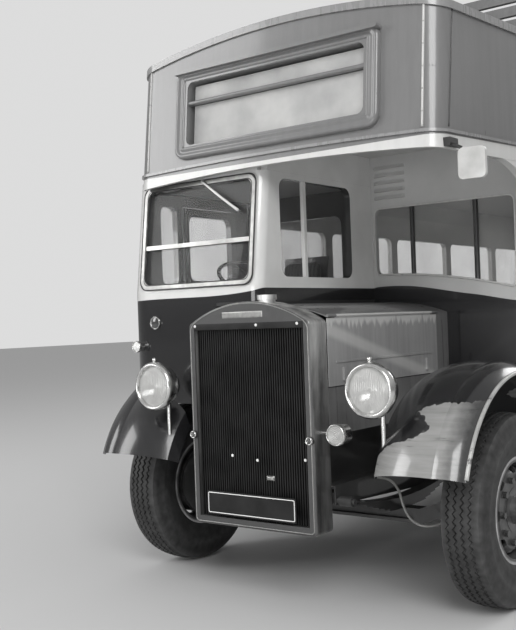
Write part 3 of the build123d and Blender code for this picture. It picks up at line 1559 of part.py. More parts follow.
# Columns: side, width, place along the bus, foot of the arm across, along and up
mirror_arms = (
    (1, 140, cab_y - 75, 1040, cab_y + 100, 2398),
    (-1, 66, cab_y + 400, 1215, cab_y + 440, 2350),
)
with BuildPart() as mirrors:
    for side, width, mirror_y, foot_x, foot_y, foot_z in mirror_arms:
        mirror_x = mirror_reach - width / 2
        elbow = (side * (mirror_x - width / 8), mirror_y + mirror_thickness, mirror_z + 60)
        with BuildLine() as arm:
            Line((side * foot_x, foot_y, foot_z), elbow)
        with BuildSketch(arm.line ^ 0):
            Circle(arm_radius)
        sweep()
        with Locations(elbow):
            Sphere(arm_radius + 4)
        with BuildSketch(Plane((side * mirror_x, mirror_y, mirror_z), x_dir=(1, 0, 0), z_dir=(0, 1, 0))):
            RectangleRounded(width, mirror_height, 24)
        extrude(amount=mirror_thickness)
        with Locations((side * foot_x, foot_y, foot_z)):
            Box(60, 90, 44)
    add(upper_body(seat_gap, fascia_crown - 120, canopy_height), mode=Mode.SUBTRACT)
    add(cab_body(seat_gap, cab_floor_top, canopy_height), mode=Mode.SUBTRACT)
mirrors.part.label = "mirrors"
export_step(mirrors.part, "parts/mirrors.step")

# Steering column and wheel, raked back towards the driver
steer_tilt = radians(28)
steer_x = -640
steer_y = cab_y + 640
steer_z = 1800
wheel_radius = 240
wheel_tube = 13
hub_depth = 50
shaft_radius = 16
column_axis = (0, sin(steer_tilt), cos(steer_tilt))


def along_column(distance):
    """Point on the column's axis, a distance up from the wheel's middle."""
    return (steer_x, steer_y + distance * column_axis[1], steer_z + distance * column_axis[2])


column_length = (steer_z - cab_floor_top) / cos(steer_tilt) - hub_depth / 2 - 20
with BuildPart() as steering_column:
    with BuildSketch(Plane(along_column(-hub_depth / 2 - 1), x_dir=(1, 0, 0), z_dir=column_axis)):
        Circle(26)
    extrude(amount=-column_length)
    with BuildSketch(Plane(along_column(-hub_depth / 2 - 2), x_dir=(1, 0, 0), z_dir=column_axis)):
        Circle(shaft_radius)
    extrude(amount=30)
    with BuildSketch(Plane(along_column(-column_length + 40), x_dir=(1, 0, 0), z_dir=column_axis)):
        Circle(60)
    extrude(amount=-70)
    with Locations((steer_x, steer_y, cab_floor_top - 500 + seat_gap)):
        Box(400, 2000, 1000, mode=Mode.SUBTRACT)
steering_column.part.label = "steering_column"
export_step(steering_column.part, "parts/steering_column.step")

wheel_place = Plane(along_column(0), x_dir=(1, 0, 0), z_dir=column_axis)
with BuildPart(wheel_place) as steering_wheel:
    Torus(wheel_radius, wheel_tube)
    Cylinder(42, hub_depth)
    with BuildSketch(wheel_place.offset(-5)):
        with PolarLocations(wheel_radius / 2, 4):
            Rectangle(wheel_radius, 16)
    extrude(amount=10)
    with BuildSketch(wheel_place.offset(-hub_depth / 2)):
        Circle(shaft_radius + pin_play)
    extrude(amount=32, mode=Mode.SUBTRACT)
steering_wheel.part.label = "steering_wheel"
export_step(steering_wheel.part, "parts/steering_wheel.step")

# Saloon seats: a bent pan on hoops, with a squab and a back cushion.
# Columns: side, front of the squab along the bus
row_pitch = 660
first_row = bulkhead_y + 420
row_count = 5
seat_inner = 300
seat_outer = inner_wall_x - 8
seat_height = floor_top + 400
squab_thickness = 90
back_height = 480
pan = 14


def pan_profile(y, z):
    """Side view of a seat's pan, bent up into its back."""
    with BuildSketch(Plane.XY, mode=Mode.PRIVATE) as profile:
        with BuildLine():
            FilletPolyline((y, z), (y + 420, z - 30), (y + 500, z + back_height), radius=60)
            offset(amount=pan, side=Side.RIGHT)
        make_face()
    return profile.sketch


def cushion_profile(y, z):
    """Side views of the squab and of the back cushion on a pan."""
    with BuildSketch(Plane.XY, mode=Mode.PRIVATE) as profile:
        with BuildLine():
            Polyline(
                (y + 4, z + seat_gap),
                (y + 350, z - 25 + seat_gap),
                (y + 362, z + squab_thickness - 22),
                (y + 4, z + squab_thickness),
                close=True,
            )
        make_face()
        with BuildLine():
            Polyline(
                (y + 436 - seat_gap, z + squab_thickness - 16),
                (y + 496 - seat_gap, z + back_height - 24),
                (y + 430, z + back_height - 20),
                (y + 372, z + squab_thickness - 12),
                close=True,
            )
        make_face()
        fillet(profile.vertices(), 14)
    return profile.sketch


bench_length = 2 * box_reach - 60
bench_z = box_top
driver_y = cab_y + 740
driver_z = cab_floor_top + 400
driver_half = 180
seat_middle = (seat_inner + seat_outer) / 2
seat_width = seat_outer - seat_inner
# Columns: leg's place behind the front of the pan, drop of its top below the pan
seat_legs = ((50, 12), (380, 34))
with BuildPart() as seat_frames:
    for side in (1, -1):
        with BuildSketch(Plane.YZ.offset(side * seat_middle - seat_width / 2)):
            for row in range(row_count):
                add(pan_profile(first_row + row * row_pitch, seat_height))
        extrude(amount=seat_width)
    for leg_y, drop in seat_legs:
        with BuildSketch(Plane.XY.offset(floor_top + seat_gap)):
            for row in range(row_count):
                for side in (1, -1):
                    with Locations((side * seat_middle, first_row + row * row_pitch + leg_y)):
                        with GridLocations(seat_width - 120, 0, 2, 1):
                            Circle(13)
        extrude(amount=seat_height - drop - floor_top - seat_gap)
    with BuildSketch(Plane.YZ.offset(steer_x - driver_half)):
        add(pan_profile(driver_y, driver_z))
    extrude(amount=2 * driver_half)
    with Locations((steer_x, driver_y + 210, (cab_floor_top + driver_z) / 2 - 15)):
        Cylinder(50, driver_z - cab_floor_top - 30)
        Box(300, 300, driver_z - cab_floor_top - 260, align=(Align.CENTER, Align.CENTER, Align.MIN))
seat_frames.part.label = "seat_frames"
export_step(seat_frames.part, "parts/seat_frames.step")

with BuildPart() as seat_cushions:
    for side in (1, -1):
        with BuildSketch(Plane.YZ.offset(side * seat_middle - seat_width / 2 + 10)):
            for row in range(row_count):
                add(cushion_profile(first_row + row * row_pitch, seat_height))
        extrude(amount=seat_width - 20)
    for side in (1, -1):
        bench_middle = side * (box_inner + inner_wall_x - 20) / 2
        with BuildSketch(Plane.XY.offset(bench_z + seat_gap)):
            with Locations((bench_middle, rear_axle_y)):
                RectangleRounded(inner_wall_x - box_inner - 20, bench_length, 40)
        extrude(amount=squab_thickness + 20)
        with BuildSketch(Plane.XY.offset(bench_z + squab_thickness + 22)):
            with Locations((side * (inner_wall_x - 45), rear_axle_y)):
                RectangleRounded(70, bench_length, 30)
        extrude(amount=back_height - 130)
    with BuildSketch(Plane.YZ.offset(steer_x - driver_half + 10)):
        add(cushion_profile(driver_y, driver_z))
    extrude(amount=2 * driver_half - 20)
seat_cushions.part.label = "seat_cushions"
export_step(seat_cushions.part, "parts/seat_cushions.step")

# Upper deck seats, slatted for the weather, on pressed side frames
deck_pitch = 730
deck_first = cab_y + 720
deck_rows = 8
deck_inner = 250
deck_side_room = 98
deck_outer = half_body - upper_inset - wall - deck_side_room
deck_seat_height = 420
slat = 55
slat_gap = 18
deck_middle = (deck_inner + deck_outer) / 2
deck_width = deck_outer - deck_inner
back_rake = 0.232
# Columns: slat's place behind the seat's front, its height above the frame
seat_slats = [(46 + step * (slat + slat_gap), 8 - 3 * step) for step in range(5)]
back_slats = [(401 + back_rake * height, height) for height in (90, 178, 266, 354)]
with BuildPart() as upper_seats:
    for side in (1, -1):
        for frame_x in (deck_inner + 30, deck_outer - 30):
            with BuildSketch(Plane.YZ.offset(side * frame_x - 6)):
                for row in range(deck_rows):
                    y = deck_first + row * deck_pitch
                    z = deck_top + deck_seat_height
                    with BuildLine():
                        Polyline(
                            (y + 20, deck_top + seat_gap),
                            (y + 50, deck_top + seat_gap),
                            (y + 50, z - 36),
                            (y + 370, z - 56),
                            (y + 370, deck_top + seat_gap),
                            (y + 400, deck_top + seat_gap),
                            (y + 410, z - 30),
                            (y + 505, z + 400),
                            (y + 490, z + 404),
                            (y + 395, z - 10),
                            (y + 10, z),
                            close=True,
                        )
                    make_face()
            extrude(amount=12)
        with BuildSketch(Plane.YZ.offset(side * deck_middle - deck_width / 2)):
            for row in range(deck_rows):
                y = deck_first + row * deck_pitch
                z = deck_top + deck_seat_height
                for back, up in seat_slats:
                    with Locations((y + back, z + up)):
                        Rectangle(slat, 20, rotation=-2)
                for back, up in back_slats:
                    with Locations((y + back, z + up)):
                        Rectangle(20, 64, rotation=-13)
        extrude(amount=deck_width)
upper_seats.part.label = "upper_seats"
export_step(upper_seats.part, "parts/upper_seats.step")

# Grab rails: the platform's pole and the guard round the stairwell
pole_radius = 17
guard_height = 900
guard_front = well_front - 60
guard_inner = well_inner + 60
with BuildPart() as grab_rails:
    for pole_x, pole_y in ((1080, body_back - 330), (470, body_back - 120)):
        with Locations((pole_x, pole_y, (platform_top + ceiling) / 2)):
            Cylinder(pole_radius, ceiling - platform_top - 2 * seat_gap)
    with BuildLine() as guard:
        FilletPolyline(
            (-1040, guard_front, deck_top + seat_gap),
            (-1040, guard_front, deck_top + guard_height),
            (guard_inner, guard_front, deck_top + guard_height),
            (guard_inner, well_back - 260, deck_top + guard_height),
            (guard_inner, well_back - 260, deck_top + seat_gap),
            radius=90,
        )
    with BuildSketch(guard.line ^ 0):
        Circle(pole_radius)
    sweep()
    with Locations((guard_inner, guard_front, deck_top + guard_height / 2 - 30)):
        Cylinder(pole_radius - 3, guard_height - 60)
grab_rails.part.label = "grab_rails"
export_step(grab_rails.part, "parts/grab_rails.step")

# Exhaust: a silencer hung under the nearside outriggers, with its pipes
exhaust_x = 640
exhaust_z = 560
pipe_radius = 24
silencer_front = bulkhead_y + 1310
silencer_length = 900
with BuildPart() as exhaust:
    with Locations((exhaust_x, silencer_front + silencer_length / 2, exhaust_z)):
        Cylinder(105, silencer_length, rotation=(90, 0, 0))
    with BuildLine() as pipe:
        FilletPolyline(
            (250 + seat_gap, cab_y + 700, exhaust_z + 200),
            (exhaust_x - 110, cab_y + 700, exhaust_z + 200),
            (exhaust_x, cab_y + 1250, exhaust_z),
            (exhaust_x, silencer_front + 10, exhaust_z),
            radius=80,
        )
    with BuildSketch(pipe.line ^ 0):
        Circle(pipe_radius)
    sweep()
    with BuildLine() as tail:
        Line(
            (exhaust_x, silencer_front + silencer_length - 10, exhaust_z),
            (exhaust_x, rear_axle_y - 900, exhaust_z),
        )
    with BuildSketch(tail.line ^ 0):
        Circle(pipe_radius)
    sweep()
exhaust.part.label = "exhaust"
export_step(exhaust.part, "parts/exhaust.step")
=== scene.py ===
from math import cos, pi, radians, sin, sqrt

import bpy
import numpy as np
from mathutils import Matrix, Vector


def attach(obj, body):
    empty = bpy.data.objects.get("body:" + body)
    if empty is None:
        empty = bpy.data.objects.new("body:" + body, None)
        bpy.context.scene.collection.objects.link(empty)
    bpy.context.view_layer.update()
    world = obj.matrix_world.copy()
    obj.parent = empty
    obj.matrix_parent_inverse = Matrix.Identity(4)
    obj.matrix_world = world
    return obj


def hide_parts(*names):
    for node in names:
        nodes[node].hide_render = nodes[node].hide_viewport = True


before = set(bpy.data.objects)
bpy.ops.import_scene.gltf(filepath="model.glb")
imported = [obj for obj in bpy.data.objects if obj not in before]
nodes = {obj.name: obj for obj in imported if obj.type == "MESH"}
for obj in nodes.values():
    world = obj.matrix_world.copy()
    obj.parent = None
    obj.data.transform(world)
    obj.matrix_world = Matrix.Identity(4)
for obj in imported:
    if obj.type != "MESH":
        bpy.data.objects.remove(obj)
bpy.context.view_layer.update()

# Camera: it stands at head height off the nearside front corner, turned a
# little over to one side, with a lens that is slightly long.
camera_place = Vector((3.2117, -8.1478, 1.545))
camera_turn, camera_rise, camera_roll = radians(37.67), radians(0.31), radians(-2.05)
ahead = Vector((-sin(camera_turn) * cos(camera_rise), cos(camera_turn) * cos(camera_rise), sin(camera_rise)))
level_right = Vector((cos(camera_turn), sin(camera_turn), 0))
level_up = level_right.cross(ahead)
camera_right = level_right * cos(camera_roll) + level_up * sin(camera_roll)
camera_up = level_up * cos(camera_roll) - level_right * sin(camera_roll)
camera_data = bpy.data.cameras.new("camera")
camera_data.sensor_fit = "HORIZONTAL"
camera_data.sensor_width = 36.0
camera_data.lens = 67.4
camera_data.dof.use_dof = False
camera = bpy.data.objects.new("camera", camera_data)
bpy.context.scene.collection.objects.link(camera)
camera_axes = Matrix((camera_right, camera_up, -ahead)).transposed()
camera.matrix_world = Matrix.Translation(camera_place) @ camera_axes.to_4x4()
bpy.context.scene.camera = camera

# Floor and studio: one wide pale sheet under a soft pale sky, with four large
# lamps, the main one high off the nearside front.
bpy.context.scene.view_settings.view_transform = "Standard"


def surface(name, points, closed_u=False, closed_v=False):
    """Mesh over a grid of points: neighbours in both directions make the quads."""
    points = np.asarray(points, dtype=float)
    rows, columns = points.shape[:2]
    index = np.arange(rows * columns).reshape(rows, columns)
    if closed_u:
        index = np.concatenate([index, index[:1]], axis=0)
    if closed_v:
        index = np.concatenate([index, index[:, :1]], axis=1)
    quads = np.stack([index[:-1, :-1], index[:-1, 1:], index[1:, 1:], index[1:, :-1]], axis=-1)
    return meshed(name, points.reshape(-1, 3), quads.reshape(-1, 4))


def meshed(name, points, faces):
    """Smooth-shaded piece from an array of points and an array of the faces' corners."""
    mesh = bpy.data.meshes.new(name)
    mesh.from_pydata(points.tolist(), [], faces.tolist())
    mesh.polygons.foreach_set("use_smooth", np.ones(len(mesh.polygons), dtype=bool))
    mesh.update()
    piece = bpy.data.objects.new(name, mesh)
    bpy.context.scene.collection.objects.link(piece)
    return piece


def filled(value, size):
    """Value with a set number of parts: one number stands for a grey, and a colour gets an alpha of 1."""
    if isinstance(value, (int, float)):
        value = (value,) * 3
    return (*value, 1) if size == 4 and len(value) == 3 else tuple(value)


def wire(node, values):
    """Gives each input of a node a number or colour, or links it to another node's output."""
    for key, value in values.items():
        socket = node.inputs[key]
        if isinstance(value, bpy.types.NodeSocket):
            node.id_data.links.new(value, socket)
        elif socket.type in ("RGBA", "VECTOR"):
            socket.default_value = filled(value, len(socket.default_value))
        else:
            socket.default_value = value


def add_node(material, kind, values=None, **settings):
    """New node of a finish or of the sky: its settings first, then its inputs."""
    node = material.node_tree.nodes.new("ShaderNode" + kind)
    for key, value in settings.items():
        setattr(node, key, value)
    wire(node, values or {})
    return node


def shades(material, source, *stops):
    """Colour by a number: each stop is a value and the grey or colour there, blended evenly between stops."""
    node = add_node(material, "ValToRGB", {0: source})
    ramp = node.color_ramp.elements
    for element, (where, colour) in ((ramp[0], stops[0]), (ramp[1], stops[-1])):
        element.position, element.color = where, filled(colour, 4)
    for where, colour in stops[1:-1]:
        ramp.new(where).color = filled(colour, 4)
    return node.outputs[0]


def new_material(name):
    """Empty material and its main shader."""
    material = bpy.data.materials.new(name)
    material.use_nodes = True
    return material, material.node_tree.nodes["Principled BSDF"]


floor_reach = 60.0
floor_x, floor_y = np.meshgrid((-floor_reach, floor_reach), (-floor_reach, floor_reach))
floor = surface("floor", np.stack([floor_x, floor_y, np.zeros((2, 2))], axis=-1))
floor_paint, floor_shader = new_material("floor_paint")
wire(floor_shader, {"Base Color": 0.62, "Roughness": 0.75})
floor.data.materials.append(floor_paint)

world = bpy.data.worlds.new("studio")
world.use_nodes = True
bpy.context.scene.world = world
sky_way = add_node(world, "TexCoord").outputs["Generated"]
sky_rise = add_node(world, "SeparateXYZ", {0: sky_way}).outputs["Z"]
sky = world.node_tree.nodes["Background"]
wire(sky, {"Color": shades(world, sky_rise, (0.0, 0.34), (0.55, 0.95)), "Strength": 0.55})
backdrop = add_node(world, "Background", {"Color": 0.72, "Strength": 1.0})
seen_straight = add_node(world, "LightPath").outputs["Is Camera Ray"]
sky_choice = add_node(world, "MixShader", {0: seen_straight, 1: sky.outputs[0], 2: backdrop.outputs[0]})
wire(world.node_tree.nodes["World Output"], {"Surface": sky_choice.outputs[0]})

# Columns: name, place, size across and down, power, point aimed at
lamp_table = (
    ("key_lamp", (7.5, -12.0, 8.5), 6.0, 6.0, 900, (0, -3.0, 1.5)),
    ("fill_lamp", (-9.6, -11.2, 6.0), 5.0, 6.0, 520, (0, -3.5, 2.0)),
    ("low_lamp", (0.8, -11.5, 1.3), 5.0, 1.6, 150, (0.3, -2.6, 2.0)),
    ("back_lamp", (3.0, 11.0, 9.0), 7.0, 5.0, 600, (0, 1.0, 1.5)),
)
for lamp_name, lamp_place, lamp_wide, lamp_tall, lamp_power, lamp_aim in lamp_table:
    lamp_data = bpy.data.lights.new(lamp_name, "AREA")
    lamp_data.shape = "RECTANGLE"
    lamp_data.size = lamp_wide
    lamp_data.size_y = lamp_tall
    lamp_data.energy = lamp_power
    lamp = bpy.data.objects.new(lamp_name, lamp_data)
    lamp.location = lamp_place
    aim = Vector(lamp_aim) - Vector(lamp_place)
    lamp.rotation_euler = aim.to_track_quat("-Z", "Y").to_euler()
    bpy.context.scene.collection.objects.link(lamp)

# Running gear: rolled and cast steel under the floor, brushed with black
# chassis paint that has gone dull and holds dried rain and road dust.


def object_place(material):
    """The piece's own place at each point of its surface, in metres."""
    return add_node(material, "TexCoord").outputs["Object"]


def along(material, axis, place=None):
    """One part of a place: X across the bus, Y along it, Z up."""
    return add_node(material, "SeparateXYZ", {0: place or object_place(material)}).outputs[axis]


def cloud(material, scale, detail, roughness=0.5, stretch=None, wanted="Fac"):
    """Cloudy pattern from 0 to 1, with its place first scaled along each axis where it is drawn out."""
    place = object_place(material)
    if stretch:
        place = add_node(material, "Mapping", {"Vector": place, "Scale": stretch}).outputs[0]
    pattern = {"Vector": place, "Scale": scale, "Detail": detail, "Roughness": roughness}
    return add_node(material, "TexNoise", pattern).outputs[wanted]


def ranged(material, source, low, high, start=0.0, stop=1.0, easing="LINEAR"):
    """Number that runs from start to stop while the source runs from low to high, and holds beyond both."""
    ends = {"Value": source, "From Min": low, "From Max": high, "To Min": start, "To Max": stop}
    return add_node(material, "MapRange", ends, interpolation_type=easing).outputs[0]


def reckoned(material, kind, *values):
    """Sum, product or comparison of outputs and numbers; a comparison gives 1 or 0."""
    return add_node(material, "Math", dict(enumerate(values)), operation=kind).outputs[0]


def toned(material, colour, share):
    """Colour times a number."""
    return add_node(material, "VectorMath", {0: colour, "Scale": share}, operation="SCALE").outputs[0]


def blended(material, share, under, over):
    """The under colour at a share of 0, the over colour at 1, and an even blend between."""
    return add_node(material, "Mix", {"Factor": share, "A": under, "B": over}, data_type="RGBA").outputs["Result"]


def relief(material, shader, height, strength, distance):
    """Fine relief: tilts the surface by the slope of a pattern, times a strength and a depth in metres."""
    bump = add_node(material, "Bump", {"Height": height, "Strength": strength, "Distance": distance})
    wire(shader, {"Normal": bump.outputs[0]})


def inner_share(material, middle):
    """1 on faces that look towards a point, 0 on those that look away: the sign of normal . (point - place)."""
    shape = add_node(material, "TexCoord")
    towards = add_node(material, "VectorMath", {0: middle, 1: shape.outputs["Object"]}, operation="SUBTRACT")
    way = add_node(material, "VectorMath", {0: towards.outputs[0]}, operation="NORMALIZE")
    facing = add_node(material, "VectorMath", {0: shape.outputs["Normal"], 1: way.outputs[0]}, operation="DOT_PRODUCT")
    return reckoned(material, "GREATER_THAN", facing.outputs["Value"], 0.02)


dust_grey, dust_foot, dust_head = 0.20, 0.2, 1.2


def coach_paint(name, colour, rough=0.22, streak=0.12, dust=0.25, wear=0.0, under=0.5, lining=None, middle=None):
    """Gloss paint: broad fading, rain streaks, road dust low down, rubbed spots, and a lining that faces a middle."""
    material, shader = new_material(name)
    fading = cloud(material, 1.7, 5.0)
    rain = cloud(material, 1.0, 6.0, 0.65, stretch=(26, 26, 1.3))
    marks = reckoned(material, "ADD", fading, rain)
    coat = toned(material, colour, ranged(material, marks, 0.6, 1.4, 1 - streak, 1 + streak))
    low = ranged(material, along(material, "Z"), dust_foot, dust_head, dust, 0.0)
    coat = blended(material, reckoned(material, "MULTIPLY", low, marks), coat, dust_grey)
    if wear > 0:
        spots = cloud(material, 9.0, 9.0, 0.7)
        coat = blended(material, ranged(material, spots, 0.66 - 0.12 * wear, 0.70 - 0.10 * wear), coat, under)
    if lining is not None:
        coat = blended(material, inner_share(material, middle), coat, lining)
    gloss = ranged(material, marks, 0.3, 1.6, rough, rough + 0.18)
    wire(shader, {"Base Color": coat, "Roughness": gloss, "Coat Weight": 0.5, "Coat Roughness": 0.08})
    relief(material, shader, fading, 0.10, 0.01)
    return material


def dress(material, *names):
    """Gives a finish to whole CAD nodes by name."""
    for name in names:
        for slot in nodes[name].material_slots:
            slot.material = material


chassis_paint = coach_paint("chassis_paint", 0.018, rough=0.5, streak=0.4, dust=0.12)
dress(chassis_paint, "chassis_frame", "front_axle_beam", "rear_axle", "leaf_springs", "engine", "fuel_tank")
dress(chassis_paint, "exhaust", "track_rod", "knuckle_nearside", "knuckle_offside", "steering_column")
dress(chassis_paint, "cab_floor")

# Wheels: pressed steel discs on ten studs, dark under road dirt, with the rim's
# rolled flange rubbed bright.
axle_height = 0.508
front_axle_y, rear_axle_y = -3.350, 1.654
# Columns: distance from the axle, grey
wheel_rings = ((0.0, 0.05), (0.09, 0.07), (0.12, 0.04), (0.20, 0.045), (0.245, 0.07), (0.262, 0.05), (0.268, 0.34),
               (0.272, 0.36))


def axle_distance(material, axle_y):
    """Distance of each point from the wheel's axle: the length of its place across the axle."""
    moved = {"Vector": object_place(material), "Location": (0, -axle_y, -axle_height), "Scale": (0, 1, 1)}
    centred = add_node(material, "Mapping", moved).outputs[0]
    return add_node(material, "VectorMath", {0: centred}, operation="LENGTH").outputs["Value"]


def wheel_finish(name, axle_y):
    """Dark paint in rings by the distance from the axle, out to the bare flange, times a coarse dirt pattern."""
    material, shader = new_material(name)
    tone = shades(material, axle_distance(material, axle_y), *wheel_rings)
    dirt = ranged(material, cloud(material, 14.0, 8.0), 0.3, 0.7, 0.5, 1.5)
    wire(shader, {"Base Color": toned(material, tone, dirt), "Roughness": 0.38, "Coat Weight": 0.3})
    return material


dress(wheel_finish("front_wheel_paint", front_axle_y), "front_wheel_nearside", "front_wheel_offside")
dress(wheel_finish("rear_wheel_paint", rear_axle_y), "rear_wheels_nearside", "rear_wheels_offside")

# Tyres: cross-ply black rubber with four zigzag grooves round the tread and
# ribbed walls, greyed by road dust. Two stand side by side at each rear hub.
front_tyre_x, outer_tyre_x, inner_tyre_x = 1.080, 1.064, 0.794
bead_half, bead_radius = 0.0926, 0.2793
bead_wide, bead_tall = 0.012, 0.010
wall_half = 0.120
tread_half, tread_edge_radius, tread_radius = 0.100, 0.494, 0.5075
groove_places = (-0.060, -0.020, 0.020, 0.060)
groove_half, groove_depth, groove_swing = 0.0055, 0.010, 0.0075
groove_lip, groove_wall = 0.0015, 0.002
zigzag_count = 84
# Columns: share of the wall from bead to tread, height of the rib, its width as a share
wall_ribs = ((0.16, 0.0022, 0.03), (0.27, 0.0022, 0.02), (0.62, 0.0030, 0.03))
# Columns: distance from the axle, grey
tyre_rings = ((0.29, 0.034), (0.36, 0.024), (0.40, 0.044), (0.46, 0.028), (0.492, 0.052), (0.500, 0.024),
              (0.52, 0.020))


def fit(piece, material, body):
    """Gives a new piece its finish and makes it ride on a body."""
    piece.data.materials.append(material)
    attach(piece, body)
    return piece


def sharpen(piece, degrees):
    """Marks the edges that turn by more than an angle, so that they shade as creases."""
    piece.data.set_sharp_from_angle(angle=radians(degrees))
    return piece


def tyre_columns():
    """Columns of the tyre's section: distance out, radius, and how far the column swings in the zigzag."""
    share = np.linspace(0, 1, 22)
    rib = sum(rise * np.exp(-((share - where) / width) ** 2) for where, rise, width in wall_ribs)
    bow = (wall_half - (bead_half + tread_half) / 2) * 4 * share * (1 - share)
    out = bead_half + (tread_half - bead_half) * share + bow + rib
    radius = bead_radius + (tread_edge_radius - bead_radius) * share
    columns = [(-o, r, 0.0) for o, r in zip(out, radius)]
    groove = ((-groove_half - groove_lip, 0), (-groove_half, 0.6), (-groove_half + groove_wall, 1),
              (groove_half - groove_wall, 1), (groove_half, 0.6), (groove_half + groove_lip, 0))
    for place in groove_places:
        for step, sunk in groove:
            crown = tread_radius - (tread_radius - tread_edge_radius) * ((place + step) / tread_half) ** 2
            columns.append((place + step, crown - sunk * groove_depth, 1.0))
    columns += [(o, r, 0.0) for o, r in zip(out[::-1], radius[::-1])]
    inner_half, inner_radius = bead_half - bead_wide, bead_radius - bead_tall
    return np.array(columns + [(inner_half, inner_radius, 0.0), (-inner_half, inner_radius, 0.0)])


def tyre(name, middle, side, axle_y):
    """Section turned round the axle: a point is (out + swing times a triangle wave of the angle, radius)."""
    out, radius, swing = tyre_columns().T
    angle = np.linspace(0, 2 * pi, 2 * zigzag_count, endpoint=False)
    wave = groove_swing * (1 - 2 * (np.arange(2 * zigzag_count) % 2))
    points = np.empty((len(angle), len(out), 3))
    points[..., 0] = side * (middle + out[None, :] + swing[None, :] * wave[:, None])
    points[..., 1] = axle_y - side * radius[None, :] * np.sin(angle)[:, None]
    points[..., 2] = axle_height + radius[None, :] * np.cos(angle)[:, None]
    return sharpen(surface(name, points, closed_u=True, closed_v=True), 38)


def rubber_finish(name, axle_y):
    """Dark rubber in rings by the distance from the axle, dustier on the wall's ribs, times a mottled pattern."""
    material, shader = new_material(name)
    tone = shades(material, axle_distance(material, axle_y), *tyre_rings)
    grain = cloud(material, 22.0, 9.0)
    mottled = toned(material, tone, ranged(material, grain, 0.25, 0.75, 0.45, 1.6))
    wire(shader, {"Base Color": mottled, "Roughness": 0.62})
    relief(material, shader, grain, 0.35, 0.003)
    return material


front_rubber = rubber_finish("front_rubber", front_axle_y)
rear_rubber = rubber_finish("rear_rubber", rear_axle_y)
both_sides = (("nearside", 1), ("offside", -1))
for side_name, side in both_sides:
    front_tyre = tyre(f"tyre_front_{side_name}", front_tyre_x, side, front_axle_y)
    fit(front_tyre, front_rubber, f"wheel_front_{side_name}")
    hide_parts(f"front_tyre_{side_name}")
    outer_tyre = tyre(f"tyre_rear_outer_{side_name}", outer_tyre_x, side, rear_axle_y)
    fit(outer_tyre, rear_rubber, f"wheels_rear_{side_name}")
    inner_tyre = tyre(f"tyre_rear_inner_{side_name}", inner_tyre_x, side, rear_axle_y)
    fit(inner_tyre, rear_rubber, f"wheels_rear_{side_name}")
    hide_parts(f"rear_tyres_{side_name}")

# Brake hose: a rubber hose that hangs in a loop from the frame's side member
# to the end of the axle beam, beside the drum, grey with dried mud.
hose_points = (
    (0.4355, -3.520, 0.650), (0.475, -3.520, 0.650), (0.535, -3.530, 0.640), (0.585, -3.545, 0.590),
    (0.605, -3.550, 0.520), (0.640, -3.550, 0.450), (0.700, -3.540, 0.412), (0.765, -3.505, 0.410),
    (0.815, -3.450, 0.435), (0.832, -3.394, 0.460),
)
hose_radius = 0.0075
hose_curve = bpy.data.curves.new("brake_hose_line", "CURVE")
hose_curve.dimensions = "3D"
hose_line = hose_curve.splines.new("NURBS")
hose_line.points.add(len(hose_points) - 1)
for point, hose_place in zip(hose_line.points, hose_points):
    point.co = (*hose_place, 1)
hose_line.order_u = 3
hose_line.use_endpoint_u = True
hose_curve.resolution_u = 10
hose_curve.bevel_depth = hose_radius
hose_curve.bevel_resolution = 4
hose_curve.use_fill_caps = True
hose = bpy.data.objects.new("brake_hose", hose_curve)
bpy.context.scene.collection.objects.link(hose)
hose_rubber = coach_paint("hose_rubber", (0.26, 0.26, 0.25), rough=0.6, streak=0.3, dust=0.2)
fit(hose, hose_rubber, "bus")

# Headlamps: deep pressed bowls, plated, each with a broad rolled rim, a bright
# reflector and a domed glass that is fluted from side to side.


def turned(name, centre, axis, profile, count=64, closed=False):
    """Profile of (distance along an axis, radius) turned round it: centre + along * axis + radius * spoke."""
    axis = np.array(axis, dtype=float)
    axis /= np.linalg.norm(axis)
    helper = np.array((0, 0, 1.0)) if abs(axis[2]) < 0.9 else np.array((1.0, 0, 0))
    first = np.cross(helper, axis)
    first /= np.linalg.norm(first)
    second = np.cross(axis, first)
    distance, radius = np.array(profile, dtype=float).T
    angle = np.linspace(0, 2 * pi, count, endpoint=False)
    spokes = np.cos(angle)[:, None] * first + np.sin(angle)[:, None] * second
    points = np.array(centre) + distance[None, :, None] * axis + radius[None, :, None] * spokes[:, None, :]
    return surface(name, points, closed_u=True, closed_v=closed)


def arc_profile(start, middle, end, count=12):
    """Points on the curve through three points: the quadratic that meets them at 0, a half and 1."""
    start, middle, end = (np.array(p, dtype=float) for p in (start, middle, end))
    t = np.linspace(0, 1, count)[:, None]
    return start * (1 - t) * (1 - 2 * t) + middle * 4 * t * (1 - t) + end * t * (2 * t - 1)


def metal(name, colour, rough, pitted=0.3):
    """Bare or plated metal: roughness by a broad fogging pattern, tone and relief by fine pits."""
    material, shader = new_material(name)
    pits = cloud(material, 40.0, 8.0)
    fogging = ranged(material, cloud(material, 6.0, 4.0), 0.3, 0.7, rough, rough + 0.18 * pitted + 0.05)
    tone = ranged(material, pits, 0.3, 0.7, 1 - 0.35 * pitted, 1.0)
    wire(shader, {"Base Color": toned(material, colour, tone), "Metallic": 1.0, "Roughness": fogging})
    relief(material, shader, pits, 0.15 * pitted, 0.002)
    return material


plating = metal("plating", (0.70, 0.70, 0.69), 0.16)
bright_dish = metal("bright_dish", (0.85, 0.85, 0.84), 0.10, pitted=0.1)
dress(plating, "headlamps", "grab_rails")
lens_glass, shader = new_material("lens_glass")
lens_haze = ranged(lens_glass, cloud(lens_glass, 12.0, 6.0), 0.3, 0.7, 0.62, 0.82)
wire(shader, {"Base Color": (0.50, 0.50, 0.49), "Alpha": lens_haze, "Roughness": 0.22, "Coat Weight": 0.4,
              "Coat Roughness": 0.10})

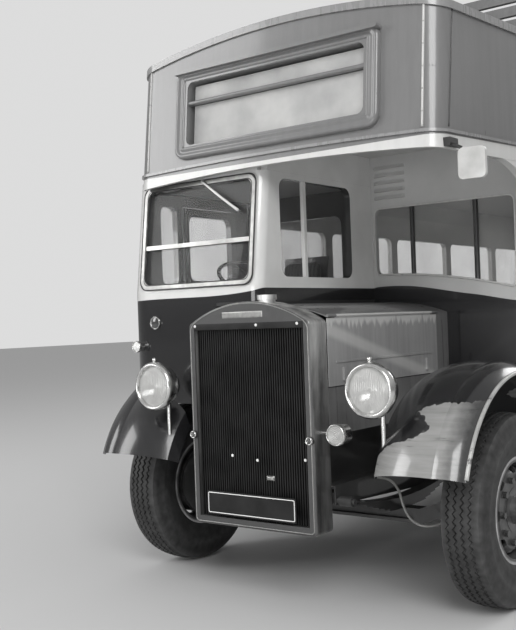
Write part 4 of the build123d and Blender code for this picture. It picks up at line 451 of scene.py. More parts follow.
lamp_x, lamp_y, lamp_z = 0.730, -4.015, 1.180
glass_radius, glass_seat, glass_dome = 0.1215, 0.044, 0.017
flute_depth, flute_pitch = 0.0011, 0.0125
# Profiles: distance along the lamp's axis, radius
lamp_rim = np.concatenate([
    arc_profile((-0.044, 0.112), (-0.0655, 0.126), (-0.046, 0.1415)),
    arc_profile((-0.040, 0.1420), (-0.030, 0.1425), (-0.018, 0.1395), 5),
    arc_profile((-0.020, 0.1385), (-0.036, 0.122), (-0.040, 0.112), 5),
])
dish_reach, dish_back, dish_depth = 0.118, 0.050, 0.084
dish_radius = np.linspace(dish_reach, 0.006, 20)
dish = np.stack([dish_back - dish_depth * (dish_radius / dish_reach) ** 2, dish_radius], axis=1)
bulb_middle, bulb_half_long, bulb_half_wide = 0.004, 0.016, 0.012
bulb_turn = np.linspace(0.05, pi - 0.05, 14)
bulb = np.stack([bulb_middle - bulb_half_long * np.cos(bulb_turn), bulb_half_wide * np.sin(bulb_turn)], axis=1)
knob = [(-0.004, 0.001), (-0.004, 0.011), (0.006, 0.014), (0.016, 0.011), (0.020, 0.001)]
across_bus, along_bus, upright = (1, 0, 0), (0, 1, 0), (0, 0, 1)
for side_name, side in both_sides:
    centre = (side * lamp_x, lamp_y, lamp_z)
    rim = turned(f"lamp_rim_{side_name}", centre, along_bus, lamp_rim, 96, closed=True)
    fit(rim, plating, "bus")
    fit(turned(f"lamp_dish_{side_name}", centre, along_bus, dish, 72), bright_dish, "bus")
    fit(turned(f"lamp_bulb_{side_name}", centre, along_bus, bulb, 20), bright_dish, "bus")
    knob_place = (side * lamp_x, lamp_y - 0.034, lamp_z + 0.148)
    fit(turned(f"lamp_knob_{side_name}", knob_place, upright, knob, 20), plating, "bus")
    # Glass: a shallow dome, sunk and raised across by a wave of fine flutes
    reach = glass_radius * np.sqrt(np.linspace(0, 1, 70))[None, :]
    angle = np.linspace(0, 2 * pi, 180, endpoint=False)[:, None]
    across, up = reach * np.cos(angle), reach * np.sin(angle)
    flute = flute_depth * np.cos(2 * pi * across / flute_pitch) * (1 - (reach / glass_radius) ** 6)
    dome = -glass_seat - glass_dome * (1 - (reach / glass_radius) ** 2) + flute
    points = np.stack([side * lamp_x + across, lamp_y + dome, lamp_z + up], axis=-1)
    lens = fit(surface(f"lamp_glass_{side_name}", points[::-1], closed_u=True), lens_glass, "bus")
    if side_name == "nearside":
        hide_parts("headlamp_lenses")

# Fog lamp and small lamps: a plated lamp with ringed glass on an arm from the
# radiator, a white side lamp, and dark reflector discs on the cab and the back.
fog_place, fog_radius = (0.528, -4.017, 0.952), 0.047
fog_seat, fog_dome = 0.050, 0.008
fog_ring_height, fog_ring_pitch = 0.0016, 0.0085
ring_radius = np.linspace(0.001, fog_radius, 60)
ring_rise = -fog_seat - fog_dome * (1 - (ring_radius / fog_radius) ** 2)
ring_rise += fog_ring_height * np.cos(2 * pi * ring_radius / fog_ring_pitch)
fog_profile = np.stack([ring_rise, ring_radius], axis=1)
fit(turned("fog_glass", fog_place, along_bus, fog_profile, 72), lens_glass, "bus")
fog_rim = np.concatenate([
    arc_profile((-0.040, 0.0455), (-0.059, 0.051), (-0.044, 0.058), 9),
    arc_profile((-0.040, 0.0580), (-0.030, 0.0575), (-0.024, 0.0545), 4),
])
fit(turned("fog_rim", fog_place, along_bus, fog_rim, 72), plating, "bus")
white_glass, shader = new_material("white_glass")
wire(shader, {"Base Color": (0.78, 0.78, 0.77), "Roughness": 0.18, "Coat Weight": 0.6})
dark_glass, shader = new_material("dark_glass")
wire(shader, {"Base Color": 0.045, "Roughness": 0.12, "Coat Weight": 0.8})
# Columns: name, middle of the glass, which way it faces, radius, bulge, finish
small_glasses = (
    ("side_lamp_glass", (-1.058, -3.864, 1.407), -1, 0.029, 0.014, white_glass),
    ("disc_glass", (-0.918, -3.835, 1.551), -1, 0.033, 0.006, dark_glass),
    ("tail_glass_offside", (-1.090, 4.108, 0.900), 1, 0.033, 0.006, dark_glass),
    ("tail_glass_middle", (0.300, 4.108, 0.900), 1, 0.033, 0.006, dark_glass),
)
for glass_name, middle, facing, radius, bulge, finish in small_glasses:
    spread = np.linspace(0, 1, 12)
    cap = np.stack([bulge * (1 - spread**2), radius * np.maximum(spread, 0.01)], axis=1)
    fit(turned(glass_name, middle, (0, facing, 0), cap[::-1], 32), finish, "bus")
    edge = arc_profile((-0.006, radius), (0.005, radius + 0.004), (-0.006, radius + 0.008), 8)
    fit(turned(glass_name.replace("glass", "rim"), middle, (0, facing, 0), edge, 32), plating, "bus")

# Radiator: a cast aluminium shell, dull with age, with painted reflections streaked
# down its sides, round a stack of black slats.
# Its head carries a bare badge place, and its foot a black plate.
shell_metal, shader = new_material("shell_metal")
dull = ranged(shell_metal, cloud(shell_metal, 30.0, 8.0), 0.3, 0.7, 0.32, 0.5)
# Painted reflection on the shell's sides: pale streaks, brighter towards the head and darker towards the foot; the
# front face stays an even dark grey
reflection_streaks = cloud(shell_metal, 1.0, 7.0, stretch=(14, 14, 2.6))
side_reflection = shades(shell_metal, reflection_streaks, (0.35, 0.20), (0.66, (0.62, 0.62, 0.61)))
side_reflection = toned(shell_metal, side_reflection, ranged(shell_metal, along(shell_metal, "Z"), 0.70, 1.45, 0.45, 1.35))
to_sides = ranged(shell_metal, along(shell_metal, "Y"), -4.0955, -4.084)
wire(shader, {"Base Color": blended(shell_metal, to_sides, 0.11, side_reflection), "Metallic": 0.80, "Roughness": dull})
dress(shell_metal, "radiator_shell")
slat_paint, shader = new_material("slat_paint")
grime = shades(slat_paint, cloud(slat_paint, 9.0, 8.0), (0.3, 0.005), (0.75, 0.018))
wire(shader, {"Base Color": grime, "Roughness": 0.5, "Specular IOR Level": 0.3})
dress(slat_paint, "radiator_grille", "number_plate")
frame_metal = metal("frame_metal", (0.42, 0.42, 0.41), 0.30, pitted=0.8)


def grid(rows, columns):
    """Two parameters over a grid of rows and columns, each from -1 to 1."""
    return np.meshgrid(np.linspace(-1, 1, rows), np.linspace(-1, 1, columns), indexing="ij")


def through_three(a, b, c):
    """Centre and radius of the circle through three points, from the two equal-distance conditions."""
    a, b, c = (np.array(p, dtype=float) for p in (a, b, c))
    centre = np.linalg.solve(2 * np.array([b - a, c - a]), np.array([b @ b - a @ a, c @ c - a @ a]))
    return centre, float(np.linalg.norm(a - centre))


def rounded_path(corners, radius, count=8):
    """Corners joined by straight runs, each corner cut by a quadratic that meets both runs at the radius."""
    corners = np.array(corners, dtype=float)
    before = corners - np.roll(corners, 1, axis=0)
    after = np.roll(corners, -1, axis=0) - corners
    before /= np.linalg.norm(before, axis=1, keepdims=True)
    after /= np.linalg.norm(after, axis=1, keepdims=True)
    t = np.linspace(0, 1, count)[None, :, None]
    start = (corners - radius * before)[:, None, :]
    stop = (corners + radius * after)[:, None, :]
    return (start * (1 - t) ** 2 + 2 * corners[:, None, :] * t * (1 - t) + stop * t**2).reshape(-1, corners.shape[1])


def divided(loop, step=0.02):
    """Points of a loop with more put evenly along each run that is longer than a step."""
    runs = []
    for start_point, stop_point in zip(loop, np.roll(loop, -1, axis=0)):
        parts = max(int(np.linalg.norm(stop_point - start_point) / step), 1)
        runs.append(start_point + (stop_point - start_point) * np.arange(parts)[:, None] / parts)
    return np.concatenate(runs)


def stood_up(line, depth):
    """Points (across, up) as places in the bus, at a depth along it."""
    return np.stack([line[:, 0], np.broadcast_to(depth, len(line)), line[:, 1]], axis=1)


def rings(path, way, helper, radius, sides):
    """Circle at each point of a path, square to its way: point + radius * (cosine, sine) of two cross ways."""
    way = way / np.linalg.norm(way, axis=1, keepdims=True)
    first = np.cross(way, helper)
    first /= np.linalg.norm(first, axis=1, keepdims=True)
    second = np.cross(way, first)
    angle = np.linspace(0, 2 * pi, sides, endpoint=False)
    ring = np.cos(angle)[None, :, None] * first[:, None, :] + np.sin(angle)[None, :, None] * second[:, None, :]
    return path[:, None, :] + np.broadcast_to(radius, len(path))[:, None, None] * ring


def loop_tube(name, path, radius, sides=10):
    """Closed tube: circles round a loop of points, each square to the line between its two neighbours."""
    way = np.roll(path, -1, axis=0) - np.roll(path, 1, axis=0)
    return surface(name, rings(path, way, (0.02, 1.0, 0.03), radius, sides), closed_u=True, closed_v=True)


shell_face_y, slat_face_y = -4.0965, -4.0745
# Head strip: a black sheet that closes the gap over the slats, held by screws
strip_half_wide, strip_middle, strip_half_tall, strip_swell = 0.372, 1.517, 0.017, 0.0012
strip_u, strip_v = grid(40, 6)
strip_y = shell_face_y - 0.0010 - strip_swell * (1 - strip_v**4)
strip_points = [strip_half_wide * strip_u, strip_y, strip_middle + strip_half_tall * strip_v]
fit(surface("grille_head", np.stack(strip_points, axis=-1)), slat_paint, "bus")
# Bead round the face: over the crown, down one side, along the foot and up the other side
bead_x = 0.398
crown_centre, crown_radius = through_three((-0.396, 1.524), (0.0, 1.640), (0.396, 1.524))
crown_x = np.linspace(strip_half_wide, -strip_half_wide, 40)
crown_z = crown_centre[1] + np.sqrt(crown_radius**2 - (crown_x - crown_centre[0]) ** 2)
foot_corners = [(-bead_x, 1.40), (-bead_x, 0.442), (bead_x, 0.442), (bead_x, 1.40)]
foot = rounded_path(foot_corners, 0.024, 8).reshape(4, 8, 2)
side_rise = np.linspace(0.48, 1.47, 30)
face_line = np.concatenate([
    np.stack([crown_x, crown_z], axis=1), [(-0.390, 1.518), (-bead_x, 1.500)],
    np.stack([np.full(30, -bead_x), side_rise[::-1]], axis=1), foot[1], foot[2],
    np.stack([np.full(30, bead_x), side_rise], axis=1), [(bead_x, 1.500), (0.390, 1.518)],
])
fit(loop_tube("radiator_bead", stood_up(face_line, shell_face_y), 0.0030, 8), frame_metal, "bus")
# Screws: three along the head strip, three on the slats
head_screw_y, slat_screw_y = shell_face_y - 0.0020, slat_face_y - 0.0003
screw_places = (
    (-0.362, head_screw_y, 1.522), (0.068, head_screw_y, 1.520), (0.335, head_screw_y, 1.522),
    (-0.143, slat_screw_y, 0.813), (0.029, slat_screw_y, 0.796), (0.342, slat_screw_y, 0.815),
)
screw_head = [(-0.001, 0.0085), (0.002, 0.0080), (0.0045, 0.0055), (0.0052, 0.0006)]
for order, screw_place in enumerate(screw_places):
    screw = turned(f"grille_screw_{order + 1}", screw_place, (0, -1, 0), screw_head[::-1], 16)
    fit(screw, white_glass, "bus")
# Crank plate: a small bright lug low on the slats
lug_u, lug_v = grid(12, 9)
lug_rise = 0.010 * (1 - lug_u**4) * (1 - lug_v**4)
lug_points = np.stack([0.112 + 0.026 * lug_u, slat_face_y - lug_rise, 0.706 + 0.014 * lug_v], axis=-1)
fit(surface("crank_lug", lug_points), frame_metal, "bus")
# Badge place: a low bare oblong on the head of the shell
badge_u, badge_v = grid(60, 12)
badge_rise = 0.0022 * np.clip((1 - np.abs(badge_u)) / 0.03, 0, 1) * np.clip((1 - np.abs(badge_v)) / 0.2, 0, 1)
badge_y = shell_face_y - 0.0007 - badge_rise
badge_points = np.stack([-0.026 + 0.138 * badge_u, badge_y, 1.578 + 0.017 * badge_v], axis=-1)
fit(surface("badge_place", badge_points), frame_metal, "bus")
# Tie bolts: a plated ring on each side of the shell, with a dark disc in its middle as painted shade in the hole
tie_ring = arc_profile((-0.003, 0.0225), (0.005, 0.0175), (-0.003, 0.0125), 10)[::-1]
tie_hole_shade = [(0.0006, 0.0005), (0.0006, 0.0135), (-0.002, 0.0140)]
for side_name, side in both_sides:
    tie_place = (side * 0.392, -4.111, 0.920)
    fit(turned(f"tie_ring_{side_name}", tie_place, (0, -1, 0), tie_ring, 36), plating, "bus")
    fit(turned(f"tie_hole_{side_name}", tie_place, (0, -1, 0), tie_hole_shade, 28), dark_glass, "bus")
# Plate: black sheet with a raised pale border and nothing on it
plate_corners = [(-0.290, 0.501), (0.290, 0.501), (0.290, 0.609), (-0.290, 0.609)]
border_path = stood_up(divided(rounded_path(plate_corners, 0.008, 5)), -4.1152)
fit(loop_tube("plate_border", border_path, 0.0026, 8), white_glass, "bus")

# Bonnet: sheet steel in the body colour, its side painted paler than its top as
# painted light, a pale band of painted highlight along the hinge where water has
# run down and dried, and one broad painted reflection across the side.
bonnet_paint = coach_paint("bonnet_paint", 0.15, rough=0.2, streak=0.4, dust=0.3)
dress(bonnet_paint, "bonnet_top")
# Painted light: the side is painted about twice as pale as the top of the same body paint
bonnet_side_paint = coach_paint("bonnet_side_paint", 0.30, rough=0.24, streak=0.25, dust=0.25)
dress(bonnet_side_paint, "bonnet_side")


def recolour(material, change):
    """Puts the colour that a finish has so far through a change, and links the result in its place."""
    shader = material.node_tree.nodes["Principled BSDF"]
    wire(shader, {"Base Color": change(shader.inputs["Base Color"].links[0].from_socket)})


sheet_height = along(bonnet_side_paint, "Z")
runs = cloud(bonnet_side_paint, 1.0, 3.0, stretch=(2.0, 34.0, 2.2))
# Height with the runs' length on it, pale from just under the hinge upwards: a painted highlight along the top of the
# side, with dried water runs hanging from it
run_length = 0.16
drip = reckoned(bonnet_side_paint, "MULTIPLY_ADD", runs, run_length, sheet_height)
hinge_highlight_and_runs = ranged(bonnet_side_paint, drip, 1.578, 1.602, 0.0, 0.75)
# Painted reflection: a pale band round a line that rises towards the front: height + slope * place along the bus = a
# set height
reflection_slope, reflection_height = 0.275, 0.403
sloped = reckoned(bonnet_side_paint, "MULTIPLY_ADD", along(bonnet_side_paint, "Y"), reflection_slope, sheet_height)
apart = reckoned(bonnet_side_paint, "ABSOLUTE", reckoned(bonnet_side_paint, "SUBTRACT", sloped, reflection_height))
painted_reflection = ranged(bonnet_side_paint, apart, 0.012, 0.050, 0.50, 0.0, easing="SMOOTHSTEP")
runs_and_reflection = reckoned(bonnet_side_paint, "MAXIMUM", hinge_highlight_and_runs, painted_reflection)
recolour(bonnet_side_paint, lambda sheet: blended(bonnet_side_paint, runs_and_reflection, sheet, (0.60, 0.60, 0.59)))

# Front wings: pressed steel in gloss black. The nearside one has lost its black
# on the front face, down to pale filler with a torn edge, and along its bead.
gloss_black = (0.012, 0.012, 0.013)
wing_paint = coach_paint("wing_paint", gloss_black, rough=0.13, streak=0.3, dust=0.05)
dress(wing_paint, "front_wings")


def line_height(material, across, line, low, rise, shift=0.0, straight=False):
    """Height of a line over the bus's width: a curve through set points, kept as shares of a width and a rise."""
    left, right = line[0][0], line[-1][0]
    curve = add_node(material, "FloatCurve", {"Value": ranged(material, across, left + shift, right + shift)})
    points = curve.mapping.curves[0].points
    for order, (x, z) in enumerate(line):
        share = ((x - left) / (right - left), (z - low) / rise)
        if order == 0:
            points[0].location = share
        elif order == len(line) - 1:
            points[len(points) - 1].location = share
        else:
            points.new(*share)
    if straight:
        for point in points:
            point.handle_type = "VECTOR"
    curve.mapping.update()
    return reckoned(material, "MULTIPLY_ADD", curve.outputs[0], rise, low + shift)


# Each point looks up its finish a little way off, by a fine pattern that averages a half
tear_reach = 0.05
tear = {0: cloud(wing_paint, 26.0, 7.0, wanted="Color"), 1: tear_reach, 2: object_place(wing_paint)}
torn_place = add_node(wing_paint, "VectorMath", tear, operation="MULTIPLY_ADD").outputs[0]
wing_across, wing_up = along(wing_paint, "X", torn_place), along(wing_paint, "Z", torn_place)


def torn_edge(*line):
    """Height of an edge with straight runs between set points (distance from the middle of the bus, height)."""
    return line_height(wing_paint, wing_across, line, 0.750, 0.400, shift=tear_reach / 2, straight=True)


lower_edge = torn_edge((0.60, 0.78), (0.68, 0.81), (0.76, 0.895), (0.86, 0.93), (0.93, 0.95), (0.995, 0.985),
                       (1.005, 1.105), (1.20, 1.115))
bite_edge = torn_edge((0.60, 1.15), (0.895, 1.15), (0.90, 1.062), (0.95, 1.040), (1.00, 1.00), (1.20, 0.95))
upper_edge = torn_edge((0.60, 0.75), (0.89, 1.055), (0.93, 1.085), (1.00, 1.105), (1.20, 1.115))
in_bite = reckoned(wing_paint, "MULTIPLY", reckoned(wing_paint, "GREATER_THAN", wing_up, bite_edge),
                   reckoned(wing_paint, "LESS_THAN", wing_up, upper_edge))
bare = reckoned(wing_paint, "MAXIMUM", reckoned(wing_paint, "LESS_THAN", wing_up, lower_edge), in_bite)
bare = reckoned(wing_paint, "MULTIPLY", bare, ranged(wing_paint, wing_across, 1.120, 1.215, 1.0, 0.12))
bare = reckoned(wing_paint, "MULTIPLY", bare, reckoned(wing_paint, "GREATER_THAN", wing_across, 0.500))
scratches = cloud(wing_paint, 1.0, 6.0, stretch=(5.0, 5.0, 58.0))
filler = shades(wing_paint, scratches, (0.27, 0.09), (0.36, (0.23, 0.23, 0.225)), (0.70, (0.29, 0.29, 0.285)))
recolour(wing_paint, lambda black: blended(wing_paint, bare, black, filler))


def tube(name, path, radius, sides):
    """Tube along a path: circles square to the path's slope, drawn in to a point at both ends."""
    body = rings(path, np.gradient(path, axis=0), (0.31, 0.17, 0.93), radius, sides)
    low = np.repeat(path[:1][:, None, :], sides, axis=1)
    high = np.repeat(path[-1:][:, None, :], sides, axis=1)
    return surface(name, np.concatenate([low, body, high]), closed_v=True)


wing_edge_x, wing_edge_radius = 1.2135, 0.7205
bead_turn = np.radians(np.linspace(8, 159, 90))
bead_y = front_axle_y + wing_edge_radius * np.cos(bead_turn)
bead_z = axle_height + wing_edge_radius * np.sin(bead_turn)
bead_path = np.stack([np.full(90, wing_edge_x), bead_y, bead_z], axis=1)
worn_bead = coach_paint("worn_bead", (0.42, 0.42, 0.41), rough=0.3, streak=0.4, dust=0.0, wear=0.9, under=0.06)
fit(tube("wing_bead_nearside", bead_path, 0.0105, 14), worn_bead, "bus")

# Cab and bulkhead: steel and aluminium panels in cream above the waist and
# gloss black below it, the line running a little uphill towards the middle.


line_low, line_rise = 1.5, 0.5


def two_tone(name, upper, lower, line, rough=0.2, lining=None, middle=None):
    """Pale above a curved line across the bus and another colour below it, softly faded, with a lining inside."""
    material, shader = new_material(name)
    edge = line_height(material, along(material, "X"), line, line_low, line_rise)
    over = reckoned(material, "GREATER_THAN", along(material, "Z"), edge)
    fading = cloud(material, 3.0, 8.0)
    coat = toned(material, blended(material, over, lower, upper), ranged(material, fading, 0.3, 0.7, 0.9, 1.07))
    if lining is not None:
        coat = blended(material, inner_share(material, middle), coat, lining)
    wire(shader, {"Base Color": coat, "Roughness": rough, "Coat Weight": 0.6, "Coat Roughness": 0.05})
    relief(material, shader, fading, 0.12, 0.008)
    return material


# Columns: distance from the middle of the bus, height
cab_line = ((-1.25, 1.690), (-0.965, 1.694), (-0.177, 1.713), (-0.07, 1.738), (0.57, 1.666), (0.87, 1.612),
            (1.25, 1.56))
cab_paint = two_tone("cab_paint", (0.72, 0.72, 0.71), gloss_black, cab_line, lining=0.05, middle=(-0.66, -3.15, 2.0))
dress(cab_paint, "cab_front", "cab_outer_side", "cab_door", "cab_inner_side")
bulkhead_paint = two_tone("bulkhead_paint", (0.48, 0.48, 0.475), gloss_black, cab_line)
dress(bulkhead_paint, "front_bulkhead")
# The part of the bulkhead that is the cab's back wall is painted dark
cab_wall = ranged(bulkhead_paint, along(bulkhead_paint, "X"), -0.190, -0.170, 0.10, 1.0)
recolour(bulkhead_paint, lambda wall: toned(bulkhead_paint, wall, cab_wall))

# Bulkhead trim: a pale bead round the window over the bonnet, its two black
# bars, and the five pressed louvres that let air into the saloon above it.
bulkhead_face = -2.555
bead_paint = coach_paint("bead_paint", (0.50, 0.50, 0.49), rough=0.3, streak=0.3, dust=0.0, wear=0.3, under=0.25)
trim_radius = 0.0065
window_left, window_right, window_top = -0.095, 0.885, 2.256
sill_centre, sill_radius = through_three((window_right, 1.690), (0.480, 1.774), (window_left, 1.816))


def sill_height(x):
    """Height of the window's curved sill: the circle through its three set points."""
    return sill_centre[1] + np.sqrt(sill_radius**2 - (np.asarray(x, dtype=float) - sill_centre[0]) ** 2)


sill_x = np.linspace(-0.075, 0.865, 24)
sill_run = np.stack([sill_x, sill_height(sill_x)], axis=1)
window_corners = [(window_left, 1.816), (window_left, window_top), (window_right, window_top), (window_right, 1.690)]
corner_cut = rounded_path(window_corners, 0.048, 6).reshape(4, 6, 2)
window_line = np.concatenate([corner_cut[1], corner_cut[2], [(window_right, 1.73)], sill_run[::-1],
                              [(window_left, 1.86)]])
window_bead = loop_tube("bulkhead_window_bead", stood_up(window_line, bulkhead_face - 0.001), trim_radius)
fit(window_bead, bead_paint, "bus")
bar_black = coach_paint("bar_black", 0.015, rough=0.3, streak=0.3, dust=0.0, wear=0.2, under=0.3)
bar_sunk, bar_depth, bar_square = 0.012, 0.014, 0.5
# Columns: name, left edge and right edge of the bar
for bar_name, bar_left, bar_right in (("window_bar_inner", 0.167, 0.193), ("window_bar_outer", 0.610, 0.640)):
    bar_middle, bar_half = (bar_left + bar_right) / 2, (bar_right - bar_left) / 2
    turn = np.linspace(0, 2 * pi, 20, endpoint=False)
    section_x = bar_middle + bar_half * np.sign(np.cos(turn)) * np.abs(np.cos(turn)) ** bar_square
    section_y = bulkhead_face + bar_sunk + bar_depth * np.sign(np.sin(turn)) * np.abs(np.sin(turn)) ** bar_square
    heights = np.linspace(float(sill_height(bar_middle)) - 0.004, window_top + 0.002, 12)
    points = np.stack(np.broadcast_arrays(section_x[None, :], section_y[None, :], heights[:, None]), axis=-1)
    fit(surface(bar_name, points, closed_v=True), bar_black, "bus")

# Louvres: in each pitch the sheet is flat, then leans out to a lip and drops back
louvre_left, louvre_right, louvre_top = -0.090, 0.140, 2.548
louvre_count, louvre_pitch, louvre_reach = 5, 0.0496, 0.017
hood_start, hood_end, hood_round = 0.18, 0.72, 0.014
louvre_x = np.linspace(louvre_left, louvre_right, 30)
louvre_v = np.linspace(0, louvre_count, 76)
fall = louvre_v - np.floor(np.minimum(louvre_v, louvre_count - 0.0001))
hood = np.where((fall >= hood_start) & (fall < hood_end), (fall - hood_start) / (hood_end - hood_start), 0)
ends = np.clip(np.minimum(louvre_x - louvre_left, louvre_right - louvre_x) / hood_round, 0, 1)
ends = ends * (2 - ends)
proud = 0.0006 + louvre_reach * hood[None, :] * ends[:, None]
louvre_points = np.broadcast_arrays(louvre_x[:, None], bulkhead_face - proud,
                                    louvre_top - louvre_v[None, :] * louvre_pitch)
louvres = sharpen(surface("bulkhead_louvres", np.stack(louvre_points, axis=-1)), 40)
fit(louvres, bulkhead_paint, "bus")

# Windscreen: a bright metal frame between two black rubber gaskets, screwed to
# the cab's leaning front, with one wiper hung from the top rail.
dress(frame_metal, "screen_frame")
screen_foot, screen_front, screen_rise, screen_lean = 1.740, -3.825, 0.700, 0.085


def screen_depth(z, proud):
    """Place along the bus of a point in front of the leaning screen: its foot plus the lean's share of the height."""
    return screen_front + screen_lean * (z - screen_foot) / screen_rise - proud


rubber_black = coach_paint("rubber_black", 0.014, rough=0.5, streak=0.1, dust=0.0)
# Columns: name, left, right, low and high edges, corner radius, thickness
screen_gaskets = (
    ("screen_gasket_outer", -1.035, -0.153, 1.752, 2.394, 0.067, 0.0045),
    ("screen_gasket_inner", -1.006, -0.182, 1.781, 2.365, 0.041, 0.0040),
)
for gasket_name, left, right, low, high, corner, thick in screen_gaskets:
    gasket_line = divided(rounded_path([(left, low), (right, low), (right, high), (left, high)], corner, 9))
    gasket_path = stood_up(gasket_line, screen_depth(gasket_line[:, 1], 0.012))
    fit(loop_tube(gasket_name, gasket_path, thick, 8), rubber_black, "bus")

wiper_foot = np.array((-0.556, screen_depth(2.386, 0.024), 2.386))
wiper_tip = np.array((-0.266, screen_depth(2.184, 0.026), 2.184))
arm_share = np.linspace(0, 1, 12)[:, None]
arm_line = wiper_foot * (1 - arm_share) + wiper_tip * arm_share
arm_line[:, 1] -= 0.010 * np.sin(pi * arm_share[:, 0])
wiper_paint = coach_paint("wiper_paint", (0.66, 0.66, 0.65), rough=0.35, streak=0.1, dust=0.0)
fit(tube("wiper_arm", arm_line, np.linspace(0.0065, 0.0085, 12), 10), wiper_paint, "bus")
blade_share = np.linspace(0.30, 1.08, 10)[:, None]
blade_line = wiper_foot * (1 - blade_share) + wiper_tip * blade_share + np.array((0, 0.010, -0.007))
trim_black = coach_paint("trim_black", 0.02, rough=0.35, streak=0.3, dust=0.1)
fit(tube("wiper_blade", blade_line, 0.0045, 8), trim_black, "bus")
boss_profile = [(-0.008, 0.001), (-0.008, 0.006), (0.000, 0.009), (0.014, 0.009), (0.018, 0.001)]
wiper_boss = turned("wiper_boss", wiper_foot + np.array((0, 0.006, 0)), along_bus, boss_profile, 28)
fit(wiper_boss, wiper_paint, "bus")

# Saloon sides: panels in cream round the windows and in the body colour below
# the waist rail, lined inside with pale board.
body_grey = 0.165
waist_line = ((-1.25, 1.500), (1.25, 1.500))
saloon_paint = two_tone("saloon_paint", (0.58, 0.58, 0.57), body_grey, waist_line, rough=0.24,
                        lining=(0.46, 0.46, 0.45), middle=(0, 0.5, 1.7))
dress(saloon_paint, "lower_side_nearside", "lower_side_offside", "lower_back")

# Windows: clear sheet glass, thin enough to see through without bending, under
# a film of dust that is paler on the saloon's panes.
window_glass, shader = new_material("window_glass")
film = ranged(window_glass, cloud(window_glass, 2.4, 6.0), 0.35, 0.70, 0.10, 0.20)
wire(shader, {"Base Color": 0.16, "Alpha": film, "Roughness": 0.02})
dress(window_glass, "cab_glass", "door_glass")
saloon_panes = window_glass.copy()
saloon_panes.name = "saloon_panes"
wire(saloon_panes.node_tree.nodes["Principled BSDF"], {"Base Color": (0.62, 0.62, 0.61)})
dress(saloon_panes, "saloon_glass")

# Mouldings and canopy: half-round aluminium strip over the panels' joints, in
# a paler coat than the deck's, and the cream boxed fascia over the bonnet.
moulding_paint = coach_paint("moulding_paint", 0.24, rough=0.18, streak=0.15, dust=0.1)
dress(moulding_paint, "mouldings")
cream_paint = coach_paint("cream_paint", (0.58, 0.58, 0.57), rough=0.25, streak=0.07, dust=0.1)
dress(cream_paint, "canopy")

# Upper deck panels: aluminium sheet on a timber frame, in gloss coach paint
# that has faded a little and holds fine vertical streaks of dried rain.
deck_paint = coach_paint("deck_paint", body_grey, lining=0.30, middle=(0, 0, 2.9))
dress(deck_paint, "upper_front", "upper_sides", "upper_back")

# Upper front beads: half-round aluminium strips that cover the joints between
# the front panel and its two round corners, screwed down every few inches.
deck_foot, deck_rise, deck_front = 2.440, 0.795, -3.825
front_lean, side_lean = 0.078, 0.012
corner_low, corner_gain = 0.110, 0.030
half_width = 1.219
side_draw, corner_share, corner_turn = 0.149, 0.862, 0.989


def front_shape(z):
    """Front's place, half width and corner radius at a height: each changes evenly up the leaning wall."""
    share = (z - deck_foot) / deck_rise
    front = deck_front + front_lean * share
    narrow = half_width - side_lean * share - (bulkhead_face - front) * side_draw
    return front, narrow, corner_low + corner_gain * share


def front_point(x, z, proud=0.0):
    """Points on the upper deck's leaning front: flat in the middle, then a tight circle to each drawn-in side."""
    x, z = np.broadcast_arrays(np.asarray(x, dtype=float), np.asarray(z, dtype=float))
    front, narrow, radius = front_shape(z)
    out = np.clip(np.abs(x) - (narrow - corner_share * radius), 0, corner_turn * radius)
    across = np.sign(x) * out / radius
    forward = np.sqrt(np.maximum(1 - across**2, 0))
    y = front + radius * (1 - forward)
    return np.stack([x + proud * across, y - proud * forward, z], axis=-1)


crown_height, crown_fall, crown_half = 3.235, 0.175, 1.279


def deck_top_at(x):
    """Height of the deck wall's crowned top edge: a parabola across the bus."""
    return crown_height - crown_fall * (x / crown_half) ** 2


front_bead_x, bead_foot = 0.946, 2.480
joint_paint = coach_paint("joint_paint", 0.018, rough=0.4, streak=0.2, dust=0.0)
screw_rise = [(-0.001, 0.0045), (0.0012, 0.0042), (0.0024, 0.0030), (0.0030, 0.0004)]
for side_name, side in both_sides:
    bead_z = np.linspace(bead_foot, deck_top_at(front_bead_x) - 0.024, 40)
    bead_line = front_point(side * front_bead_x, bead_z, 0.001)
    fit(tube(f"corner_bead_{side_name}", bead_line, trim_radius, 10), bead_paint, "bus")
    for order, screw_z in enumerate(np.linspace(2.560, 3.020, 5)):
        screw_at = front_point(side * front_bead_x, screw_z, 0.0068)
        screw = turned(f"bead_screw_{side_name}_{order + 1}", screw_at, (0, -1, 0.098), screw_rise[::-1], 12)
        fit(screw, frame_metal, "bus")
    # Open joint where the round corner ends and the side begins
    joint_z = np.linspace(bead_foot, deck_top_at(1.04) - 0.030, 30)
    _, narrow, radius = front_shape(joint_z)
    joint_line = front_point(side * (narrow + (corner_turn - corner_share) * radius), joint_z)
    fit(tube(f"corner_joint_{side_name}", joint_line, 0.0045, 8), joint_paint, "bus")

# Destination box: a wide pressed moulding with two rounded ridges and a deep
# reveal, screwed to the front panel round two plain linen blinds.
panel_paint = coach_paint("panel_paint", body_grey)
dress(panel_paint, "destination_box")


